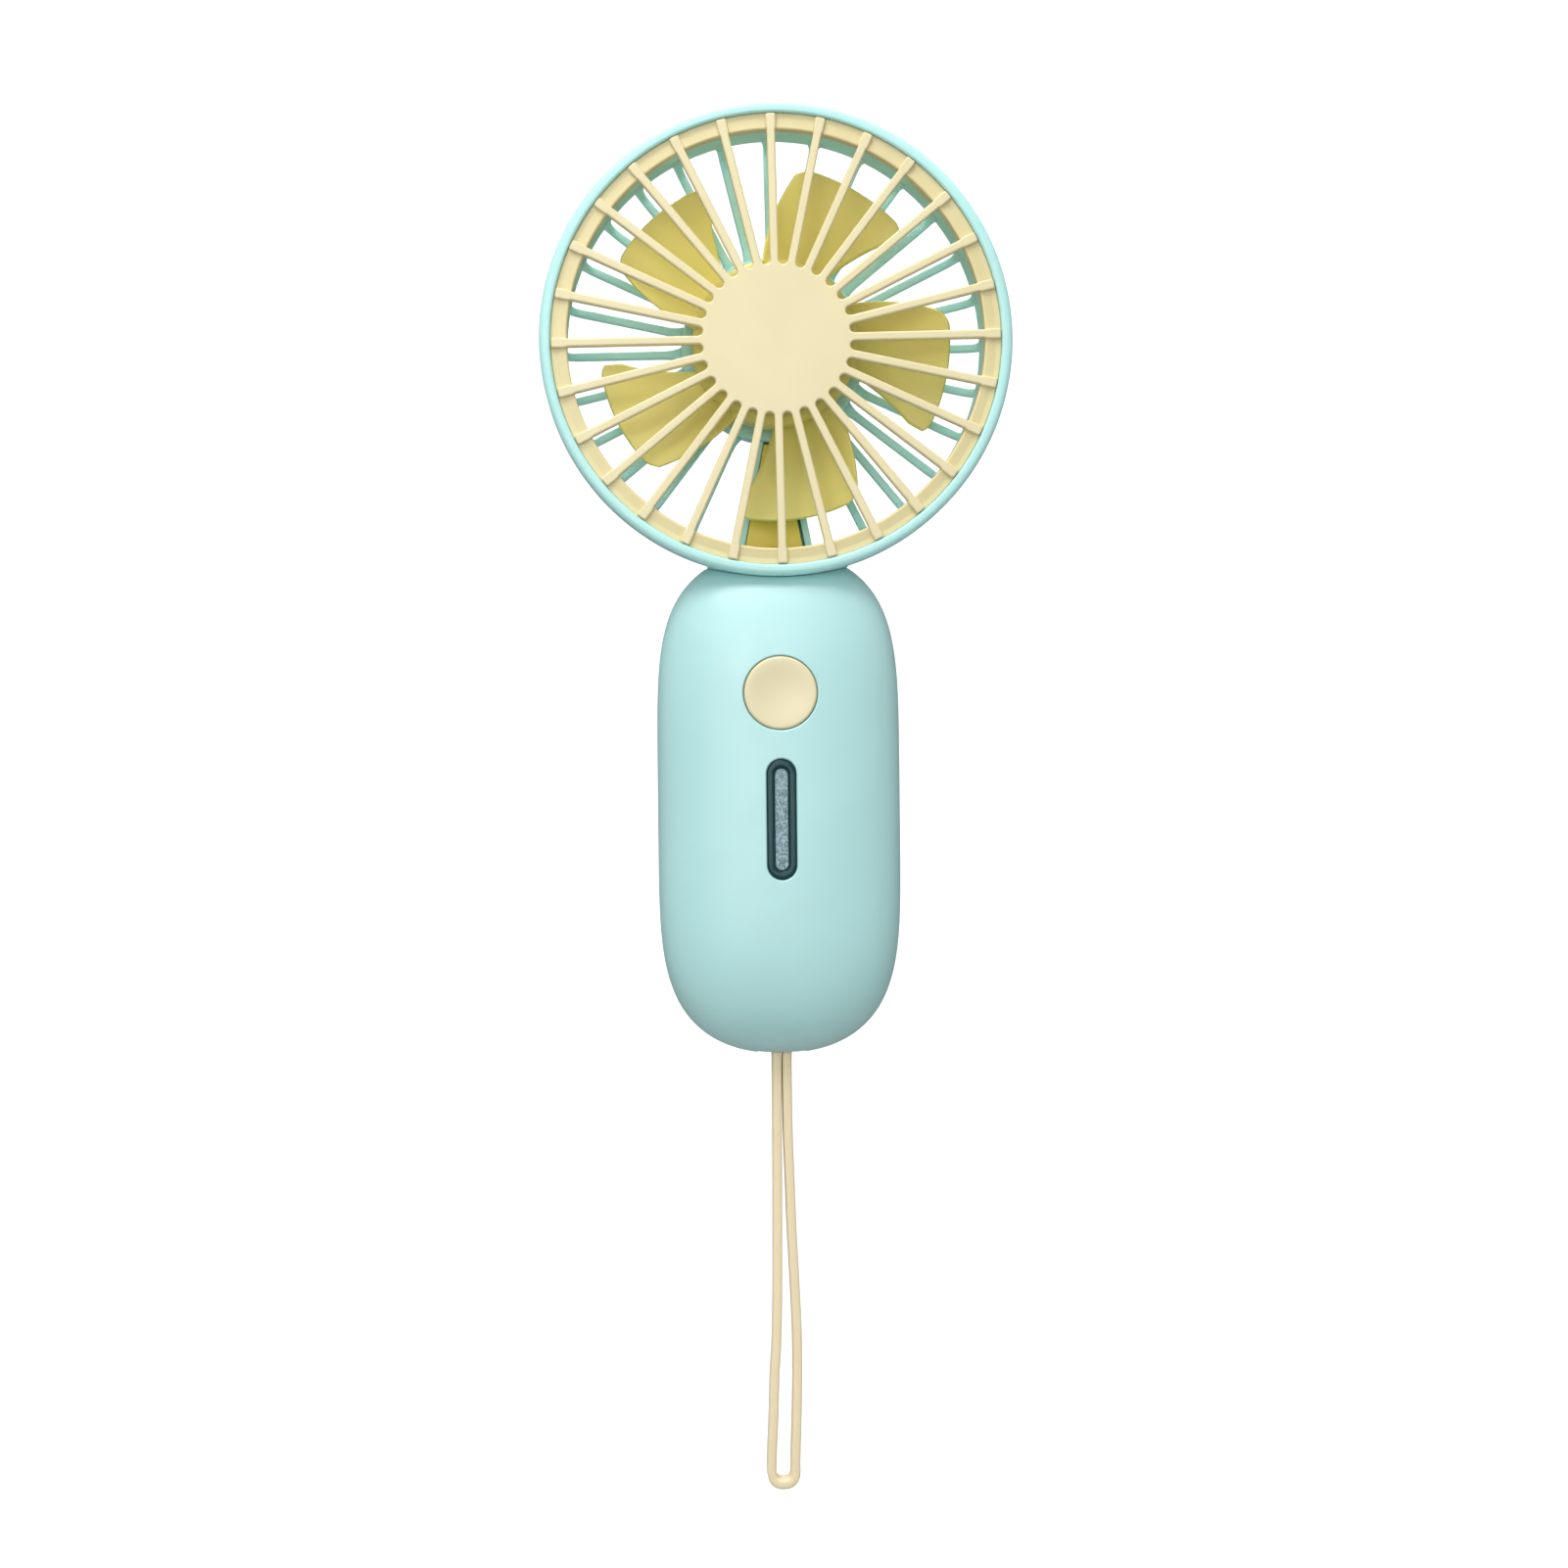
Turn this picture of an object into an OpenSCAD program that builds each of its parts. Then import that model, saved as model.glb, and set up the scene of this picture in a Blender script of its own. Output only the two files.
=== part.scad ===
// Handheld electric fan: a round caged head on a pebble-shaped battery handle with a wrist strap.
// Millimetres. +Z runs up the handle, the front faces -Y, and the origin is the handle's centre.

/* [Handle] */
// Width of the handle
handle_w = 47; // [46.6:0.2:48]
// Depth of the handle, front to back
handle_d = 28; // [27.8:0.2:29]
// Height of the handle
handle_h = 97.6; // [97:0.2:98.4]
// Wall thickness of the two handle shells
wall = 1.8; // [1.7:0.05:1.9]

/* [Head] */
// Height of the head's centre above the handle's centre
head_z = 88.4; // [88.2:0.1:88.6]
// Outer diameter of the head's rim
head_od = 90.4; // [90:0.2:90.8]
// Number of grille positions around the head
spokes = 28; // [24:2:30]
// Width of a front grille spoke
front_spoke_w = 1.6; // [1.4:0.1:1.8]
// Width of a rear grille spoke
rear_spoke_w = 1.5; // [1.3:0.1:1.7]

/* [Impeller] */
// Number of blades
blades = 5; // [3:1:6]
// Tip radius of the blades
blade_tip_r = 34; // [32:0.1:34.2]
// Thickness of a blade
blade_t = 1.1; // [0.9:0.1:1.3]

/* [Controls] */
// Diameter of the power button
button_d = 14; // [13.6:0.1:14.2]
// Travel of the power button
button_travel = 0.5; // [0.3:0.1:0.5]
// Height of the power button's centre above the handle's centre
button_z = 20.8; // [20.4:0.1:21]
// Height of the indicator window's centre
window_z = -3.3; // [-3.6:0.1:-3]

/* [Wrist strap] */
// Width of the flat strap
strap_w = 5.6; // [5:0.1:5.8]
// Thickness of the flat strap
strap_t = 1.8; // [1.6:0.1:1.8]

/* [Hidden] */
$fn = 48;
eps = 0.02;

mint = [0.66, 0.90, 0.88];
cream = [0.96, 0.90, 0.70];
olive = [0.76, 0.72, 0.36];
steel = [0.72, 0.73, 0.75];
copper = [0.80, 0.45, 0.22];
board_green = [0.12, 0.42, 0.26];
black = [0.10, 0.11, 0.12];
white = [0.93, 0.93, 0.92];

// Handle form: its outline and depth follow one end taper, its section is a superellipse.
half_w = handle_w / 2;
half_d = handle_d / 2;
half_h = handle_h / 2;
end_power = 5;
end_root = 2.2;
section_power = 2.5;
around = 56;
levels = 15;

// Head, measured along the fan's axis: negative is towards the front.
head_r = head_od / 2;
saddle_gap = 0.08;
rim_front = -13;
rim_back = 1;
rim_open_r = head_r - 2;
rim_ledge_y = -9;
rim_ledge_r = rim_open_r - 0.9;
rim_back_in_r = 40;
rim_back_out_r = 42.2;
ring_out_r = rim_open_r - 0.15;
ring_in_r = 39.9;
ring_face_y = -11.4;
hub_face_y = -12.8;
hub_back_y = -10.6;
hub_disc_r = 14.2;
pitch = 360 / spokes;
spoke_turn = -1;
scallop_r = 0.75;
rear_face_y = 7;
rear_back_y = 9.2;
rear_hub_r = 18;
seat_front_y = 3;
seat_r = 12.3;
seat_floor_y = 9.4;
seat_back_y = 10.8;
channel_wall = 1.35;
channel_slope = 0.189;
channel_back_y = 9.5;
foot_half = 5.9;
cover_front_y = 4.6;
cover_low_z = 48.4;
cover_gap = 0.1;
cover_slit = 0.55;

// Motor and impeller along the same axis.
shaft_r = 1;
can_r = 12.2;
can_front_y = -4;
can_back_y = 7.6;
can_t = 0.8;
bush_r = 2.2;
run_gap = 0.03;
hub_out_r = 16;
hub_front_y = -9.2;
hub_rear_y = 2;
blade_mid_y = -3.2;
blade_root_r = 15.4;
blade_phase = 8.6;

// Inside the handle.
cell_r = 9;
wrap_t = 0.12;
cell_y = 2.6;
cell_low_z = -36;
cell_high_z = 29;
pcb_front_y = -8.6;
pcb_back_y = -7.6;
post_x = 6.8;
post_zs = [-17.5, 30.5];
boss_x = 14.5;
boss_z = 27;
boss_r = 2.6;
screw_seat_y = 9.4;
window_w = 5.6;
window_h = 23;
light_w = 2.6;
light_h = 19.5;
pin_z = -44;
pin_r = 1;
board_z = -38.4;
usb_h = 3.26;
usb_w = 8.94;
usb_low_y = 3.3;
usb_mouth_y = 10.4;

// Route of the strap's centreline in the XZ plane: round the pin, down, and back up.
strap_route = [
    [-0.15, -41.9], [-1.5, -42.5], [-2.1, -44], [-1.7, -45.7], [-1.15, -47.3], [-1, -50],
    [-1, -58], [-1.05, -66], [-1.1, -74], [-1.2, -84], [-1.3, -94], [-1.55, -104],
    [-2, -111], [-2.3, -119], [-2.7, -127], [-2.7, -130.6], [-1.8, -132],
    [-0.5, -132.3], [0.9, -132], [1.8, -130.6], [1.9, -127], [2.2, -119],
    [2.4, -111], [2.4, -103], [2.05, -93], [1.6, -83], [1.35, -74], [1.1, -66],
    [1, -58], [1, -50], [1.15, -47.3], [1.7, -45.7], [2.1, -44], [1.5, -42.5], [0.15, -41.9]
];

// Lead routes, one side of each mirrored pair.
motor_lead_route = [
    [2.6, 8.88, 80.3], [1.6, 8.86, 76], [1.1, 8, 73.4], [1, 7, 70], [1, 6.9, 62], [1, 6.9, 52],
    [1, 6.6, 47.2], [1, 5.2, 45.7], [1, 2.4, 45.6], [1, 0.4, 44.6], [1, 0, 42], [1, -0.2, 38],
    [1.4, -2.4, 35], [2.2, -6.2, 33.8], [2.6, -7.1, 32.2], [2.6, -7.12, 31.4]
];
charging_lead_route = [
    [3, -1.6, -36.95], [3, -4.2, -37.1], [3, -6.4, -36.7], [3, -7.2, -35], [3, -7.3, -30],
    [3, -7.3, -23], [3, -7.12, -19]
];
battery_top_route = [
    [-4, 1, 29.85], [-4, -2, 30.2], [-4, -5.6, 30.4], [-4, -7.1, 28.8], [-4, -7.12, 28]
];
battery_low_route = [
    [-5.2, 1, -36.85], [-6.4, -3.2, -37], [-6.8, -5.6, -36.2], [-6.8, -7, -33.5],
    [-6.8, -7.3, -28], [-6.2, -7.3, -22], [-6, -7.12, -19]
];

// ---------- shared shapes ----------

function unit(v) = v / norm(v);
function signed_power(v, e) = sign(v) * pow(abs(v), e);
function blend4(p, t) = 0.5 * (2 * p[1] + (p[2] - p[0]) * t
    + (2 * p[0] - 5 * p[1] + 4 * p[2] - p[3]) * t * t
    + (3 * p[1] - p[0] - 3 * p[2] + p[3]) * t * t * t);
function smooth_route(p, n) = [
    for (i = [0 : len(p) - 2], k = [0 : n - 1])
        blend4([p[max(i - 1, 0)], p[i], p[i + 1], p[min(i + 2, len(p) - 1)]], k / n),
    p[len(p) - 1]
];
function tangent(p, i) = unit(p[min(i + 1, len(p) - 1)] - p[max(i - 1, 0)]);
function round_section(r, n) = [for (k = [0 : n - 1]) r * [cos(360 * k / n), sin(360 * k / n)]];
function flat_section(t, w, c) = [
    [t / 2, -w / 2 + c], [t / 2, w / 2 - c], [t / 2 - c, w / 2], [c - t / 2, w / 2],
    [-t / 2, w / 2 - c], [-t / 2, c - w / 2], [c - t / 2, -w / 2], [t / 2 - c, -w / 2]
];

// One closed skin swept along a route; up is a direction that the route never follows.
module sweep(route, section, up) {
    n = len(section);
    m = len(route);
    points = [
        for (i = [0 : m - 1])
            let (t = tangent(route, i), side = unit(cross(t, up)), top = cross(side, t))
                for (s = section) route[i] + side * s[0] + top * s[1]
    ];
    skin = [
        for (i = [0 : m - 2], k = [0 : n - 1])
            let (a = i * n + k, b = i * n + (k + 1) % n)
                each [[a, b, a + n], [b, b + n, a + n]]
    ];
    first = [for (k = [0 : n - 1]) n - 1 - k];
    last = [for (k = [0 : n - 1]) (m - 1) * n + k];
    polyhedron(points, concat([first], skin, [last]));
}

// Rounded pebble: half sizes in X, Y and Z.
module pebble(hw, hd, hh) {
    heights = [for (i = [-levels : levels]) sign(i) * (1 - pow(1 - abs(i) / levels, 2.2))];
    inner = [for (i = [1 : len(heights) - 2]) heights[i]];
    points = concat(
        [[0, 0, -hh]],
        [
            for (s = inner)
                let (k = pow(1 - pow(abs(s), end_power), 1 / end_root))
                    for (j = [0 : around - 1])
                        let (a = 360 * j / around)
                            [
                                hw * k * signed_power(cos(a), 2 / section_power),
                                hd * k * signed_power(sin(a), 2 / section_power),
                                hh * s
                            ]
        ],
        [[0, 0, hh]]
    );
    rows = len(inner);
    top = rows * around + 1;
    skin = [
        for (i = [0 : rows - 2], j = [0 : around - 1])
            let (a = 1 + i * around + j, b = 1 + i * around + (j + 1) % around)
                each [[a, a + around, b], [b, a + around, b + around]]
    ];
    low_cap = [for (j = [0 : around - 1]) [0, 1 + j, 1 + (j + 1) % around]];
    high_cap = [
        for (j = [0 : around - 1])
            [top, 1 + (rows - 1) * around + (j + 1) % around, 1 + (rows - 1) * around + j]
    ];
    polyhedron(points, concat(low_cap, skin, high_cap));
}

// Places shapes drawn round +Z, with X outward, onto the fan's axis; Z becomes depth.
module on_fan_axis() translate([0, 0, head_z]) rotate([-90, 0, 0]) children();

// A cylinder along Y between two depths.
module rod_y(x, z, r, y0, y1) {
    translate([x, y0, z]) rotate([-90, 0, 0]) cylinder(r = r, h = y1 - y0);
}

// A box given by its two corners.
module box(low, high) {
    translate(low) cube(high - low);
}

// A rounded slot shape standing along Z, between two depths.
module stadium_y(w, h, y0, y1) {
    rod_y(0, (h - w) / 2, w / 2, y0, y1);
    rod_y(0, -(h - w) / 2, w / 2, y0, y1);
    box([-w / 2, y0, -(h - w) / 2], [w / 2, y1, (h - w) / 2]);
}

// ---------- head ----------

// Round-crested bar between two radii, its crest at a given depth.
module crested_bar(r0, r1, w, crest_y) {
    rotate([90, 0, 90]) translate([0, 0, r0]) linear_extrude(r1 - r0) {
        translate([0, crest_y + w / 2]) circle(r = w / 2);
        translate([-w / 2, crest_y + w / 2]) square([w, hub_back_y - crest_y - w / 2]);
    }
}

module front_spoke() {
    crested_bar(hub_disc_r - 1, ring_out_r - 0.1, front_spoke_w, hub_face_y + 0.1);
    crested_bar(ring_in_r + 0.2, ring_out_r - 0.1, front_spoke_w + 0.4, hub_face_y + 0.2);
}

module front_grille() color(cream) on_fan_axis() {
    difference() {
        translate([0, 0, hub_face_y])
            cylinder(r = hub_disc_r + scallop_r, h = hub_back_y - hub_face_y);
        for (i = [0 : spokes - 1]) rotate((i + 0.5) * pitch + spoke_turn)
            translate([hub_disc_r + scallop_r, 0, hub_face_y - 1]) cylinder(r = scallop_r, h = 4);
    }
    for (i = [0 : spokes - 1]) rotate(i * pitch + spoke_turn) front_spoke();
    rotate_extrude() polygon([
        [ring_in_r, ring_face_y], [ring_in_r + 0.3, ring_face_y - 0.15], [ring_out_r - 0.9, ring_face_y],
        [ring_out_r - 0.7, ring_face_y - 0.6], [ring_out_r - 0.1, ring_face_y - 0.6],
        [ring_out_r, ring_face_y - 0.4], [ring_out_r, rim_ledge_y], [ring_in_r, rim_ledge_y]
    ]);
    for (i = [0 : 3]) rotate(45 + i * 90) clip_lug();
}

// Snap lug that reaches behind the rim's ledge.
module clip_lug() {
    lug_w = 4;
    rotate([90, 0, 0]) translate([0, 0, -lug_w / 2]) linear_extrude(lug_w) polygon([
        [ring_in_r + 0.3, rim_ledge_y - eps], [ring_in_r + 1.3, rim_ledge_y - eps],
        [ring_in_r + 1.1, rim_ledge_y + 2.6], [ring_in_r + 0.5, rim_ledge_y + 3]
    ]);
}

function arc(cx, cy, r, a0, a1, n) = [
    for (i = [0 : n])
        let (a = a0 + (a1 - a0) * i / n)
            [cx + r * cos(a), cy + r * sin(a)]
];

module rim() {
    lip = (head_r - rim_open_r) / 2;
    rotate_extrude() polygon(concat(
        arc(head_r - lip, rim_front + lip, lip, 0, -180, 12),
        [[rim_open_r, rim_ledge_y], [rim_ledge_r, rim_ledge_y], [rim_back_in_r, rim_back]],
        arc(rim_back_out_r - 0.8, rim_back - 0.8, 0.8, 90, 0, 5),
        [[head_r, rim_ledge_y + 2]]
    ));
}

// J-shaped rear spoke: back from the rim, round the corner and in to the hub.
module rear_spoke() {
    out_r = rim_back_out_r - 0.2;
    in_r = rim_back_in_r + 0.4;
    rotate([90, 0, 0]) translate([0, 0, -rear_spoke_w / 2]) linear_extrude(rear_spoke_w) polygon(concat(
        [[rear_hub_r - 1, rear_face_y], [in_r - 2.4, rear_face_y]],
        arc(in_r - 2.4, rear_face_y - 2.4, 2.4, 90, 0, 6),
        [[in_r, rim_back - 2], [out_r, rim_back - 2]],
        arc(out_r - 4.2, rear_back_y - 4.2, 4.2, 0, 90, 8),
        [[rear_hub_r - 1, rear_back_y]]
    ));
}

// Half the wire channel's width at a height; its walls run radially, like the spokes.
function channel_half(z) = channel_slope * (head_z - z);

// Prism along Y between two depths, drawn in the XZ plane.
module prism_y(outline, y0, y1) {
    translate([0, y1, 0]) rotate([90, 0, 0]) linear_extrude(y1 - y0) polygon(outline);
}

// Taper between the channel's walls, set in from them by a wall or a gap on each side.
module channel_fill(z0, z1, y0, y1, set_left, set_right) {
    prism_y([
        [set_left - channel_half(z0), z0], [channel_half(z0) - set_right, z0],
        [channel_half(z1) - set_right, z1], [set_left - channel_half(z1), z1]
    ], y0, y1);
}

module rear_housing() color(mint) {
    down = round(spokes / 4);
    difference() {
        union() {
            on_fan_axis() {
                rim();
                for (i = [0 : spokes - 1])
                    if (abs(i - down) > 1) rotate(i * pitch + spoke_turn) rear_spoke();
                translate([0, 0, seat_front_y]) cylinder(r = rear_hub_r, h = seat_back_y - seat_front_y);
            }
            // Wire channel at six o'clock, its foot, and the neck that the shells clamp.
            channel_fill(head_z - rim_back_out_r, head_z - rear_hub_r + 1,
                cover_front_y, channel_back_y, 0, 0);
            box([-foot_half, -2, 43.6], [foot_half, channel_back_y, 46.8]);
            box([-7, -4.5, 38], [7, 4.5, 44.4]);
            box([-9.5, -4.5, 36.4], [9.5, 4.5, 38.4]);
        }
        on_fan_axis() {
            translate([0, 0, seat_front_y - 1])
                cylinder(r = seat_r, h = seat_floor_y - seat_front_y + 1);
            translate([0, 0, seat_floor_y - 1]) cylinder(r = 3.2, h = 4);
            for (s = [-1, 1]) translate([8 * s, 0, seat_floor_y - 1]) cylinder(r = 1.1, h = 4);
        }
        // Inside of the channel, the way through the seat's wall, and the neck's passage.
        channel_fill(cover_low_z - 0.2, head_z - rear_hub_r - 0.1,
            cover_front_y - 1, rear_back_y - 1.1, channel_wall, channel_wall);
        box([-2.3, 5.9, head_z - rear_hub_r - 1], [2.3, seat_floor_y, head_z - 9]);
        box([-2.4, -1.6, 44.8], [2.4, 8.1, 46.4]);
        box([-2.4, 5.8, 44.8], [2.4, 8.1, 49]);
        box([-2.4, -1.6, 36], [2.4, 1.6, 46.4]);
    }
}

module wire_channel_cover() color(olive) {
    left = channel_wall + cover_gap;
    right = channel_wall + cover_slit;
    top_z = head_z - rear_hub_r - 0.3;
    ledge_z = cover_low_z + 1.6;
    channel_fill(cover_low_z, top_z, cover_front_y, cover_front_y + 1.1, left, right);
    channel_fill(cover_low_z, ledge_z, cover_front_y - 0.6, cover_front_y + eps, left, right);
    for (x = [-2.4, 1.8]) box([x, cover_front_y + 1.1 - eps, 52], [x + 0.6, rear_back_y - 1.2, 64]);
}

module rear_hub_cap() color(mint) on_fan_axis() {
    translate([0, 0, seat_back_y]) rotate_extrude() polygon(concat(
        [[0, 0], [13.4, 0], [13.6, 0.3]],
        arc(12.6, 0.5, 1, 0, 80, 5),
        [[9, 1.75], [0, 1.9]]
    ));
}

// ---------- impeller and motor ----------

function chord_left(r) = -0.95 * (blade_tip_r - r);
function chord_right(r) = r > 30 ? 39.5 : 39.5 - 0.75 * (30 - r);
function tip_drop(u) = 1.3 * pow(max(0, 1 - u / 0.1), 2) + 0.9 * pow(max(0, (u - 0.9) / 0.1), 2);
function tip_r(u) = blade_tip_r - tip_drop(u);
function blade_point(u, v, lift) =
    let (
        r = blade_root_r + (tip_r(u) - blade_root_r) * v,
        a = chord_left(r) + (chord_right(r) - chord_left(r)) * u,
        rise = 8.6 - 3.4 * v,
        belly = 0.9 * (1 - pow(2 * u - 1, 2))
    )
        [r * cos(a), r * sin(a), blade_mid_y + rise * (u - 0.5) + belly + lift];

module blade() {
    nu = 12;
    nv = 9;
    row = nu + 1;
    count = row * (nv + 1);
    points = [
        for (lift = [-blade_t / 2, blade_t / 2], j = [0 : nv], i = [0 : nu])
            blade_point(i / nu, j / nv, lift)
    ];
    front = [
        for (j = [0 : nv - 1], i = [0 : nu - 1])
            let (a = j * row + i)
                each [[a, a + row, a + 1], [a + 1, a + row, a + row + 1]]
    ];
    back = [for (f = front) [f[0] + count, f[2] + count, f[1] + count]];
    edge = concat(
        [for (i = [0 : nu]) i],
        [for (j = [1 : nv]) j * row + nu],
        [for (i = [1 : nu]) nv * row + nu - i],
        [for (j = [1 : nv - 1]) (nv - j) * row]
    );
    side = [
        for (k = [0 : len(edge) - 1])
            let (a = edge[k], b = edge[(k + 1) % len(edge)])
                each [[a, b, b + count], [a, b + count, a + count]]
    ];
    polyhedron(points, concat(front, back, side));
}

module impeller() color(olive) on_fan_axis() {
    difference() {
        rotate_extrude() polygon(concat(
            [[0, hub_front_y]],
            arc(hub_out_r - 3, hub_front_y + 3, 3, -90, 0, 8),
            [
                [hub_out_r, hub_rear_y], [hub_out_r - 1.1, hub_rear_y],
                [hub_out_r - 1.1, hub_front_y + 3.2], [hub_out_r - 3, hub_front_y + 1.2],
                [2.8, hub_front_y + 1.2], [2.8, -5.8], [0, -5.8]
            ]
        ));
        translate([0, 0, -8.4]) cylinder(r = shaft_r, h = 4);
    }
    for (k = [0 : blades - 1]) rotate(blade_phase - 90 + k * 360 / blades) blade();
}

module motor_shaft() color(steel) on_fan_axis() {
    translate([0, 0, -8.4]) cylinder(r = shaft_r, h = 17);
}

module motor_armature() color([0.45, 0.46, 0.48]) on_fan_axis() {
    difference() {
        union() {
            translate([0, 0, -0.5]) cylinder(r = 3, h = 5);
            for (k = [0 : 2]) rotate(k * 120) {
                translate([0, -1.5, -0.5]) cube([7.6, 3, 5]);
                intersection() {
                    difference() {
                        translate([0, 0, -0.5]) cylinder(r = 8.6, h = 5);
                        translate([0, 0, -1]) cylinder(r = 7.4, h = 6);
                    }
                    translate([0, -6, -1]) cube([9, 12, 6]);
                }
            }
        }
        translate([0, 0, -1]) cylinder(r = shaft_r, h = 6);
    }
}

module motor_windings() color(copper) on_fan_axis() {
    for (k = [0 : 2]) rotate(k * 120) difference() {
        translate([3.4, -2.8, -1.2]) cube([3, 5.6, 6.4]);
        translate([3, -1.5, -0.5]) cube([5, 3, 5]);
    }
}

module motor_commutator() color(copper) on_fan_axis() {
    difference() {
        translate([0, 0, 4.7]) cylinder(r = 2.4, h = 1.6);
        translate([0, 0, 4]) cylinder(r = shaft_r, h = 3);
        for (k = [0 : 2]) rotate(60 + k * 120) translate([1.6, -0.15, 4]) cube([2, 0.3, 3]);
    }
}

module motor_can() color(steel) on_fan_axis() {
    difference() {
        union() {
            translate([0, 0, can_front_y]) cylinder(r = can_r, h = can_back_y - can_front_y);
            translate([0, 0, -5.4]) cylinder(r = 3.2, h = 2);
        }
        translate([0, 0, can_front_y + can_t]) cylinder(r = can_r - can_t, h = 20);
        translate([0, 0, -6]) cylinder(r = bush_r, h = 4);
    }
}

module motor_magnets() color([0.25, 0.25, 0.27]) on_fan_axis() {
    intersection() {
        difference() {
            translate([0, 0, -2.5]) cylinder(r = can_r - can_t - 0.02, h = 8.6);
            translate([0, 0, -3]) cylinder(r = 9.2, h = 10);
        }
        union() {
            translate([3, -8, -3]) cube([10, 16, 10]);
            translate([-13, -8, -3]) cube([10, 16, 10]);
        }
    }
}

module motor_end_cap() color(white) on_fan_axis() {
    difference() {
        union() {
            translate([0, 0, 6.6]) cylinder(r = can_r - can_t - 0.05, h = 1.8);
            translate([0, 0, 8.3]) cylinder(r = 3.1, h = 0.9);
        }
        translate([0, 0, 6]) cylinder(r = bush_r, h = 4);
        for (s = [-1, 1]) translate([8 * s, 0, 6]) cylinder(r = 0.85, h = 4);
        for (s = [-1, 1]) translate([s * 2.6 - 1, 7.4, 6]) cube([2, 0.7, 4]);
    }
}

module motor_bushings() color([0.75, 0.62, 0.35]) on_fan_axis() {
    for (y = [-5.3, 6.7]) difference() {
        translate([0, 0, y]) cylinder(r = bush_r, h = 2);
        translate([0, 0, y - 1]) cylinder(r = shaft_r + run_gap, h = 4);
    }
}

module motor_brushes() color(copper) on_fan_axis() {
    for (s = [-1, 1]) {
        translate([s * 2.85 - 0.25, -0.8, 5.4]) cube([0.5, 1.6, 1]);
        translate([s * 4.2 - 0.35, -0.8, 5.6]) cube([0.7, 1.6, 1]);
        translate([s * 3.5 - 0.5, -0.8, 5.6]) cube([1, 1.6, 0.4]);
    }
}

module motor_terminals() color([0.80, 0.66, 0.35]) on_fan_axis() {
    for (s = [-1, 1]) translate([s * 2.6 - 0.9, 7.5, 6.7]) cube([1.8, 0.5, 2.2]);
}

module motor_screws() color(steel) on_fan_axis() {
    for (s = [-1, 1]) translate([8 * s, 0, 0]) difference() {
        union() {
            translate([0, 0, 6.8]) cylinder(r = 0.83, h = 2.8);
            translate([0, 0, 8.42]) cylinder(r = 0.83, h = 1);
            translate([0, 0, seat_floor_y]) cylinder(r = 1.05, h = seat_back_y - seat_floor_y - 0.1);
        }
        translate([-0.7, -0.15, seat_back_y - 0.5]) cube([1.4, 0.3, 1]);
        translate([-0.15, -0.7, seat_back_y - 0.5]) cube([0.3, 1.4, 1]);
    }
}

module lead(route, r) {
    sweep(smooth_route(route, 3), round_section(r, 8), [1, 0.02, 0.03]);
}

module motor_leads() color([0.75, 0.12, 0.10]) {
    for (s = [0, 1]) mirror([s, 0, 0]) lead(motor_lead_route, 0.45);
}

// ---------- handle shells ----------

module handle_outside() pebble(half_w, half_d, half_h);

module handle_inside() difference() {
    pebble(half_w - wall, half_d - wall, half_h - wall);
    rod_y(0, head_z, head_r + saddle_gap + wall, -20, 20);
}

// Everything taken out of both shells: the saddle for the head, the neck and the strap's slot.
module shared_cuts() {
    rod_y(0, head_z, head_r + saddle_gap, -20, 20);
    box([-7.1, -4.6, 36], [7.1, 4.6, 50]);
    box([-9.6, -4.6, 36.2], [9.6, 4.6, 38.6]);
    translate([0, strap_w / 2 + 0.4, 0]) rotate([90, 0, 0]) linear_extrude(strap_w + 0.8)
        polygon([[-3.4, pin_z], [3.4, pin_z], [5, -49.5], [-5, -49.5]]);
}

module pin_boss(side) {
    y_in = strap_w / 2 + 0.7;
    if (side < 0) rod_y(0, pin_z, 2.1, -6.6, -y_in);
    else rod_y(0, pin_z, 2.1, y_in, 6.6);
}

module pin_hole() rod_y(0, pin_z, pin_r + 0.02, -7.9, 7.9);

module handle_front_shell() color(mint) difference() {
    union() {
        difference() {
            handle_outside();
            handle_inside();
            box([-30, 0, -60], [30, 30, 60]);
        }
        for (x = [-boss_x, boss_x], z = [-boss_z, boss_z]) rod_y(x, z, boss_r, -10.3, 0);
        for (x = [-post_x, post_x], z = post_zs) rod_y(x, z, 1.8, -12.2, pcb_front_y);
        pin_boss(-1);
    }
    shared_cuts();
    pin_hole();
    rod_y(0, button_z, button_d / 2 + 0.1, -20, -10);
    translate([0, 0, window_z]) stadium_y(window_w + 0.1, window_h + 0.1, -20, -10);
    for (x = [-boss_x, boss_x], z = [-boss_z, boss_z]) rod_y(x, z, 0.9, -7.5, 1);
    for (x = [-post_x, post_x], z = post_zs) rod_y(x, z, 0.65, -11, -8);
}

module handle_back_shell() color(mint) difference() {
    union() {
        difference() {
            handle_outside();
            handle_inside();
            box([-30, -30, -60], [30, 0, 60]);
        }
        for (x = [-boss_x, boss_x], z = [-boss_z, boss_z]) rod_y(x, z, boss_r, 0, 10.3);
        for (z = [-22, 15]) box([-11.5, 4.5, z], [11.5, 12.3, z + 1.2]);
        for (x = [-7.4, 5.2]) box([x, 4, board_z - 1.2], [x + 2.2, 10.2, board_z]);
        pin_boss(1);
    }
    shared_cuts();
    pin_hole();
    translate([0, cell_y, cell_low_z - 1])
        cylinder(r = cell_r + 0.25, h = cell_high_z - cell_low_z + 2);
    for (x = [-boss_x, boss_x], z = [-boss_z, boss_z]) {
        rod_y(x, z, 1.1, -1, 20);
        rod_y(x, z, 2.05, screw_seat_y, 20);
    }
    usb_mouth();
}

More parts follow.
